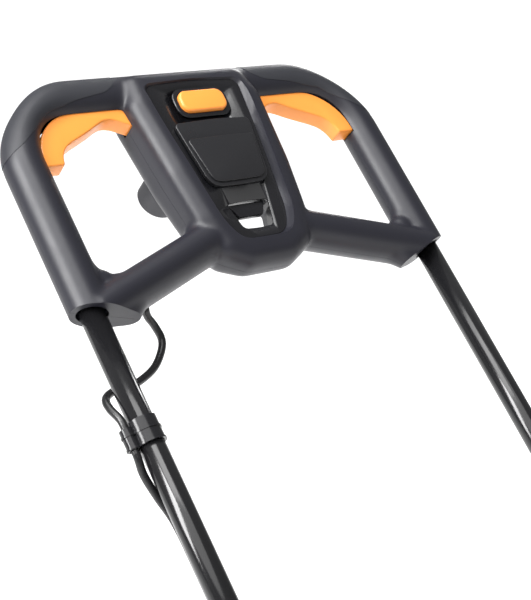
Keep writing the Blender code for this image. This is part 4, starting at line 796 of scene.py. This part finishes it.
# Wheels. Black moulded wheels with six openings, rubber tyres with a block tread and orange caps
# that snap over the axle ends.
tyre_rubber = finish("tyre rubber", (0.022, 0.022, 0.023), (0.62, 0.80), 600.0, 0.00012, 30.0,
                     (0.035, 0.034, 0.032))
for end, y, radius in (("front", -0.186, 0.070), ("rear", 0.190, 0.085)):
    rim_r = radius - 0.0140
    for side, hand in ((-1, "right"), (1, "left")):
        at = mower_at @ Matrix.Translation((side * 0.2045, y, radius)) @ Matrix.Rotation(side * math.pi / 2, 4, "Y")
        body = f"{end}_wheel_{hand}_body"
        for name, profile, steps, dress, slot_name in (
                (f"{end}_wheel_{hand}",
                 [(0.0053, -0.0155), (0.0053, 0.0060), (0.0145, 0.0060), (0.0145, 0.0163), (0.0150, 0.0165),
                  (0.0170, 0.0165), (0.0176, 0.0160), (0.0200, 0.0080), (rim_r - 0.0070, 0.0080),
                  (rim_r - 0.0055, 0.0090), (rim_r - 0.0040, 0.0145), (rim_r - 0.0035, 0.0150), (rim_r, 0.0150),
                  (rim_r, -0.0150), (rim_r - 0.0040, -0.0150), (rim_r - 0.0060, -0.0030), (0.0160, -0.0030),
                  (0.0150, -0.0155)], 72, satin_black, "satin_black"),
                (f"{end}_tyre_{hand}",
                 [(rim_r + 0.0003, -0.0150), (rim_r + 0.0003, 0.0150), (rim_r + 0.0040, 0.0166),
                  (radius - 0.0045, 0.0168), (radius - 0.0022, 0.0150), (radius - 0.0016, 0.0110),
                  (radius - 0.0016, -0.0110), (radius - 0.0022, -0.0150), (radius - 0.0045, -0.0168),
                  (rim_r + 0.0040, -0.0166)], 96, tyre_rubber, "tyre"),
                (f"{end}_hub_cap_{hand}",
                 [(0.0, 0.0125), (0.0142, 0.0125), (0.0142, 0.0148), (0.0138, 0.0154), (0.0110, 0.0167),
                  (0.0050, 0.0170), (0.0, 0.0170)], 48, orange, "orange")):
            shape = bmesh.new()
            rim = [shape.verts.new((r, 0.0, z)) for r, z in profile]
            pairs = list(zip(rim, rim[1:] + rim[:1]))
            lines = [shape.edges.new(pair) for pair in pairs if pair[0].co.x > 0 or pair[1].co.x > 0]
            bmesh.ops.spin(shape, geom=rim + lines, cent=(0, 0, 0), axis=(0, 0, 1), angle=2 * math.pi, steps=steps,
                           use_merge=True)
            bmesh.ops.remove_doubles(shape, verts=shape.verts, dist=0.00001)
            bmesh.ops.recalc_face_normals(shape, faces=shape.faces)
            if "tyre" in name:
                # every third step of the tread stands up as a block, staggered from side to side
                blocks = []
                for face_of in shape.faces:
                    middle = face_of.calc_center_median()
                    if face_of.normal.dot(Vector((middle.x, middle.y, 0)).normalized()) < 0.97:
                        continue
                    if abs(middle.z) < 0.0112:
                        blocks.append(face_of)
                bmesh.ops.subdivide_edges(shape, edges=[e for e in {e for f in blocks for e in f.edges}
                                                        if abs(e.verts[0].co.z - e.verts[1].co.z) > 0.015],
                                          cuts=3, use_grid_fill=True)
                raised = []
                for face_of in shape.faces:
                    middle = face_of.calc_center_median()
                    if math.hypot(middle.x, middle.y) < radius - 0.0019 or abs(middle.z) > 0.0112:
                        continue
                    step = int((math.atan2(middle.y, middle.x) % (2 * math.pi)) / (2 * math.pi) * steps)
                    band = int((middle.z + 0.011) / 0.0055)
                    if (step + 2 * band) % 4 != 0:
                        raised.append(face_of)
                risen = bmesh.ops.extrude_face_region(shape, geom=raised)["geom"]
                for vert in [g for g in risen if isinstance(g, bmesh.types.BMVert)]:
                    out = Vector((vert.co.x, vert.co.y, 0.0)).normalized()
                    vert.co += out * (radius - 0.0001 - math.hypot(vert.co.x, vert.co.y))
                bmesh.ops.delete(shape, geom=raised, context="FACES")
            piece = finished(name + "_skin", shape)
            if "_wheel_" in name:
                holes = bmesh.new()
                for k in range(6):
                    spoke = math.pi / 3 * k
                    far, near = rim_r - 0.0105, 0.0240
                    corners = []
                    for r, spread in ((near, 0.20), (far, 0.36)):
                        for s in (-1, 1) if r == near else (1, -1):
                            corners.append((r * math.cos(spoke + s * spread), r * math.sin(spoke + s * spread)))
                    slab(holes, corners, -0.02, 0.02, 0.0035, 4)
                bmesh.ops.recalc_face_normals(holes, faces=holes.faces)
                worked(piece, finished("openings", holes))
            piece.data.transform(at)
            piece.data.shade_smooth()
            piece.data.set_sharp_from_angle(angle=math.radians(32))
            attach(piece, body)
            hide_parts(name)
            dressed(dress, piece)

# Rear flap. A black cover hung on a steel rod over the discharge, closed against the grass box.
FLAP_Y, FLAP_Z = 0.2260, 0.1640
shape = bmesh.new()
rod(shape, 0.0050, (-0.1275, FLAP_Y, FLAP_Z), (0.1275, FLAP_Y, FLAP_Z), 32)
flap = finished("rear_flap_skin", shape)
shape = bmesh.new()
slab(shape, [(0.1265, FLAP_Y + 0.0020), (0.1265, FLAP_Y + 0.0740), (-0.1265, FLAP_Y + 0.0740),
             (-0.1265, FLAP_Y + 0.0020)], FLAP_Z - 0.0009, FLAP_Z + 0.0018, 0.0090, 5)
bmesh.ops.recalc_face_normals(shape, faces=shape.faces)
worked(flap, finished("leaf", shape), "UNION")
shape = bmesh.new()
rod(shape, 0.0023, (-0.2, FLAP_Y, FLAP_Z), (0.2, FLAP_Y, FLAP_Z), 24)
worked(flap, finished("rod_hole", shape))
flap.data.transform(mower_at)
flap.data.shade_smooth()
flap.data.set_sharp_from_angle(angle=math.radians(30))
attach(flap, "flap")
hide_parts("rear_flap")
dressed(satin_black, flap)

# Grass box. Two black mouldings with soft corners, joined at a flanged seam; slots in the lid let
# the air out, and a loop on top lifts the full box off.
BOX_SIDE = [(0.2378, 0.0656), (0.4700, 0.0700), (0.5250, 0.0900), (0.5500, 0.1300), (0.5650, 0.2300),
            (0.5500, 0.2600), (0.5200, 0.2700), (0.3500, 0.2640), (0.3250, 0.2450), (0.3070, 0.1620),
            (0.2378, 0.1605)]
BOX_SPACE = [(0.2000, 0.0686), (0.4690, 0.0730), (0.5225, 0.0920), (0.5470, 0.1310), (0.5618, 0.2295),
             (0.5480, 0.2575), (0.5195, 0.2670), (0.3510, 0.2610), (0.3275, 0.2435), (0.3095, 0.1590),
             (0.2000, 0.1575)]
across = Matrix(((0, 0, 1, 0), (1, 0, 0, 0), (0, 1, 0, 0), (0, 0, 0, 1)))
for name, low, high in (("grass_box", 0.00, 0.14785), ("grass_box_lid", 0.14815, 0.30)):
    shape = bmesh.new()
    slab(shape, BOX_SIDE, -0.1420, 0.1420, 0.0060, 4)
    bmesh.ops.recalc_face_normals(shape, faces=shape.faces)
    ends = [e for e in shape.edges if abs(abs(e.verts[0].co.z) - 0.142) < 1e-6
            and abs(e.verts[0].co.z - e.verts[1].co.z) < 1e-6]
    bmesh.ops.bevel(shape, geom=ends, offset=0.0055, segments=4, profile=0.5, affect="EDGES", clamp_overlap=True,
                    material=-1)
    box = finished(name + "_skin", shape, across)
    shape = bmesh.new()
    slab(shape, BOX_SPACE, -0.1390, 0.1390, 0.0050, 4)
    bmesh.ops.recalc_face_normals(shape, faces=shape.faces)
    worked(box, finished("space", shape, across))
    shape = bmesh.new()
    bmesh.ops.create_cube(shape, size=1.0, matrix=Matrix.Translation((0.0, 0.4, (low + high) / 2))
                          @ Matrix.Diagonal((0.6, 0.8, high - low, 1.0)))
    worked(box, finished("half", shape), "INTERSECT")
    if name == "grass_box_lid":
        shape = bmesh.new()
        sweep(shape, smooth_path([Vector((0.0, y, z)) for y, z in (
            (0.3860, 0.2630), (0.3890, 0.2840), (0.4020, 0.2965), (0.4540, 0.2985), (0.4670, 0.2870),
            (0.4695, 0.2650))], 0.003), 0.0064, 24)
        bmesh.ops.recalc_face_normals(shape, faces=shape.faces)
        worked(box, finished("carry_loop", shape), "UNION")
        shape = bmesh.new()
        for side in (-1, 1):
            for index in range(6):
                bmesh.ops.create_cube(shape, size=1.0, matrix=Matrix.Translation(
                    (side * 0.0750, 0.3900 + index * 0.0180, 0.2660)) @ Matrix.Diagonal((0.0700, 0.0050, 0.03, 1.0)))
        worked(box, finished("slots", shape))
    box.data.transform(mower_at)
    box.data.shade_smooth()
    box.data.set_sharp_from_angle(angle=math.radians(30))
    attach(box, "collector")
    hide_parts(name)
    dressed(satin_black, box)

# Motor, cutter and small hardware keep the shapes they were drawn with and are given their finishes
# here: laminations and windings, turned and zinc-plated steel, a black oxide blade, brass prongs.
windings = finish("motor windings", (0.42, 0.17, 0.07), (0.30, 0.50), 260.0, 0.0004, 120.0, (0.25, 0.10, 0.05),
                  metallic=0.7)
blade_steel = finish("black oxide steel", (0.075, 0.075, 0.080), (0.30, 0.50), 350.0, 0.00005, 30.0,
                     (0.13, 0.12, 0.11), metallic=0.9)
brass = finish("brass", (0.76, 0.56, 0.25), (0.22, 0.36), 500.0, 0.00001, 80.0, metallic=1.0)
moulded_black = finish("plain black moulding", (0.020, 0.020, 0.022), (0.40, 0.52), 1000.0, 0.00004)
for material, names in (
        (windings, ("motor",)), (blade_steel, ("cutting_blade",)), (brass, ("inlet_contacts",)),
        (moulded_black, ("cooling_fan", "switch_module")), (tyre_rubber, ("lead_grommet",)),
        (steel, ("motor_shaft", "blade_holder", "blade_bolt", "front_axle", "rear_axle", "flap_rod",
                 "lever_pin_left", "lever_pin_right", "button_spring"))):
    dressed(material, *(bpy.data.objects[name] for name in names))

# Lever springs. Coils of thin steel wire that stand between each lever and the inside of the top
# bar. The real ones shorten as the lever is squeezed; each coil here rides with the handle at one length.
for side, hand in ((-1, "right"), (1, "left")):
    turns = [(math.pi * step / 8, 0.1974 + 0.0002 * step) for step in range(136)]
    shape = bmesh.new()
    sweep(shape, [Vector((side * 0.100 + 0.0032 * math.cos(a), y, 0.0032 * math.sin(a))) for a, y in turns], 0.0005, 8)
    bmesh.ops.recalc_face_normals(shape, faces=shape.faces)
    spring = finished(f"lever_spring_{hand}_skin", shape, handle_at, 60)
    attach(spring, "handle")
    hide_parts(f"lever_spring_{hand}")
    dressed(steel, spring)
    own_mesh(spring)

# Screws. Six hold the two halves of the handle housing together, driven up from below into the
# upper half; their heads show on the underside.
screws = bmesh.new()
for side in (-1, 1):
    for x, y in ((TUBE_X, 0.078), (0.085, 0.0309), (0.034, 0.046)):
        rod(screws, 0.0016, (side * x, y, 0.0070), (side * x, y, -0.0080), 16)
        rod(screws, 0.0032, (side * x, y, -0.0062), (side * x, y, -0.0085), 24)
hardware = finished("housing_screws", screws, handle_at)
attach(hardware, "handle")
dressed(steel, hardware)

# Floor, light and camera.
ground = bmesh.new()
bmesh.ops.create_grid(ground, x_segments=1, y_segments=1, size=40.0)
floor = finished("floor", ground)
floor_paint = bpy.data.materials.new("pale floor")
floor_paint.use_nodes = True
floor_paint.node_tree.nodes["Principled BSDF"].inputs["Base Color"].default_value = (0.90, 0.90, 0.90, 1.0)
floor_paint.node_tree.nodes["Principled BSDF"].inputs["Roughness"].default_value = 0.9
floor_paint.node_tree.nodes["Principled BSDF"].inputs["Specular IOR Level"].default_value = 0.1
floor_paint.node_tree.nodes["Principled BSDF"].inputs["Emission Color"].default_value = (1.0, 1.0, 1.0, 1.0)
floor_paint.node_tree.nodes["Principled BSDF"].inputs["Emission Strength"].default_value = 0.38
dressed(floor_paint, floor)


def soft_light(name, spot, aim, size, power):
    """A square soft box at one spot, turned to another."""
    light = bpy.data.lights.new(name, "AREA")
    light.shape = "RECTANGLE"
    light.size, light.size_y = size
    light.energy = power
    lamp = bpy.data.objects.new(name, light)
    lamp.location = spot
    lamp.rotation_euler = (Vector(aim) - Vector(spot)).to_track_quat("-Z", "Y").to_euler()
    bpy.context.scene.collection.objects.link(lamp)
    return lamp


aim = handle_at @ Vector((0.0, 0.1, 0.0))
soft_light("overhead", aim + Vector((-0.5, 0.2, 1.9)), aim, (1.5, 1.2), 30)
soft_light("left_front", aim + Vector((-2.0, 0.1, 1.2)), aim, (0.7, 1.6), 75)
soft_light("right_back", aim + Vector((1.6, 1.6, 0.8)), aim, (0.5, 1.2), 13)
dome = bpy.data.lights.new("dome", "SUN")
dome.energy = 1.9
dome.angle = math.radians(60)
dome_lamp = bpy.data.objects.new("dome", dome)
dome_lamp.rotation_euler = (math.radians(12), math.radians(-22), 0.0)
bpy.context.scene.collection.objects.link(dome_lamp)
world = bpy.data.worlds.new("studio")
bpy.context.scene.world = world
world.use_nodes = True
sky = world.node_tree.nodes["Background"]
sky.inputs["Color"].default_value = (1.0, 1.0, 1.0, 1.0)
seen = world.node_tree.nodes.new("ShaderNodeLightPath")
strength = world.node_tree.nodes.new("ShaderNodeMapRange")
strength.inputs["To Min"].default_value = 0.30
strength.inputs["To Max"].default_value = 1.05
world.node_tree.links.new(seen.outputs["Is Camera Ray"], strength.inputs["Value"])
world.node_tree.links.new(strength.outputs["Result"], sky.inputs["Strength"])

eye = bpy.data.objects.new("eye", bpy.data.cameras.new("eye"))
bpy.context.scene.collection.objects.link(eye)
bpy.context.scene.camera = eye
eye.data.lens = 79.488
eye.data.sensor_width = 36.0
eye.data.clip_end = 200.0
look = Matrix(((0.78947, 0.16628, -0.59084), (-0.43042, 0.83623, -0.33978), (0.43758, 0.52256, 0.73175)))
eye.matrix_world = handle_at @ Matrix.Translation((-0.72265, -0.42730, 0.86849)) @ look.to_4x4()
bpy.context.scene.view_settings.view_transform = "Standard"
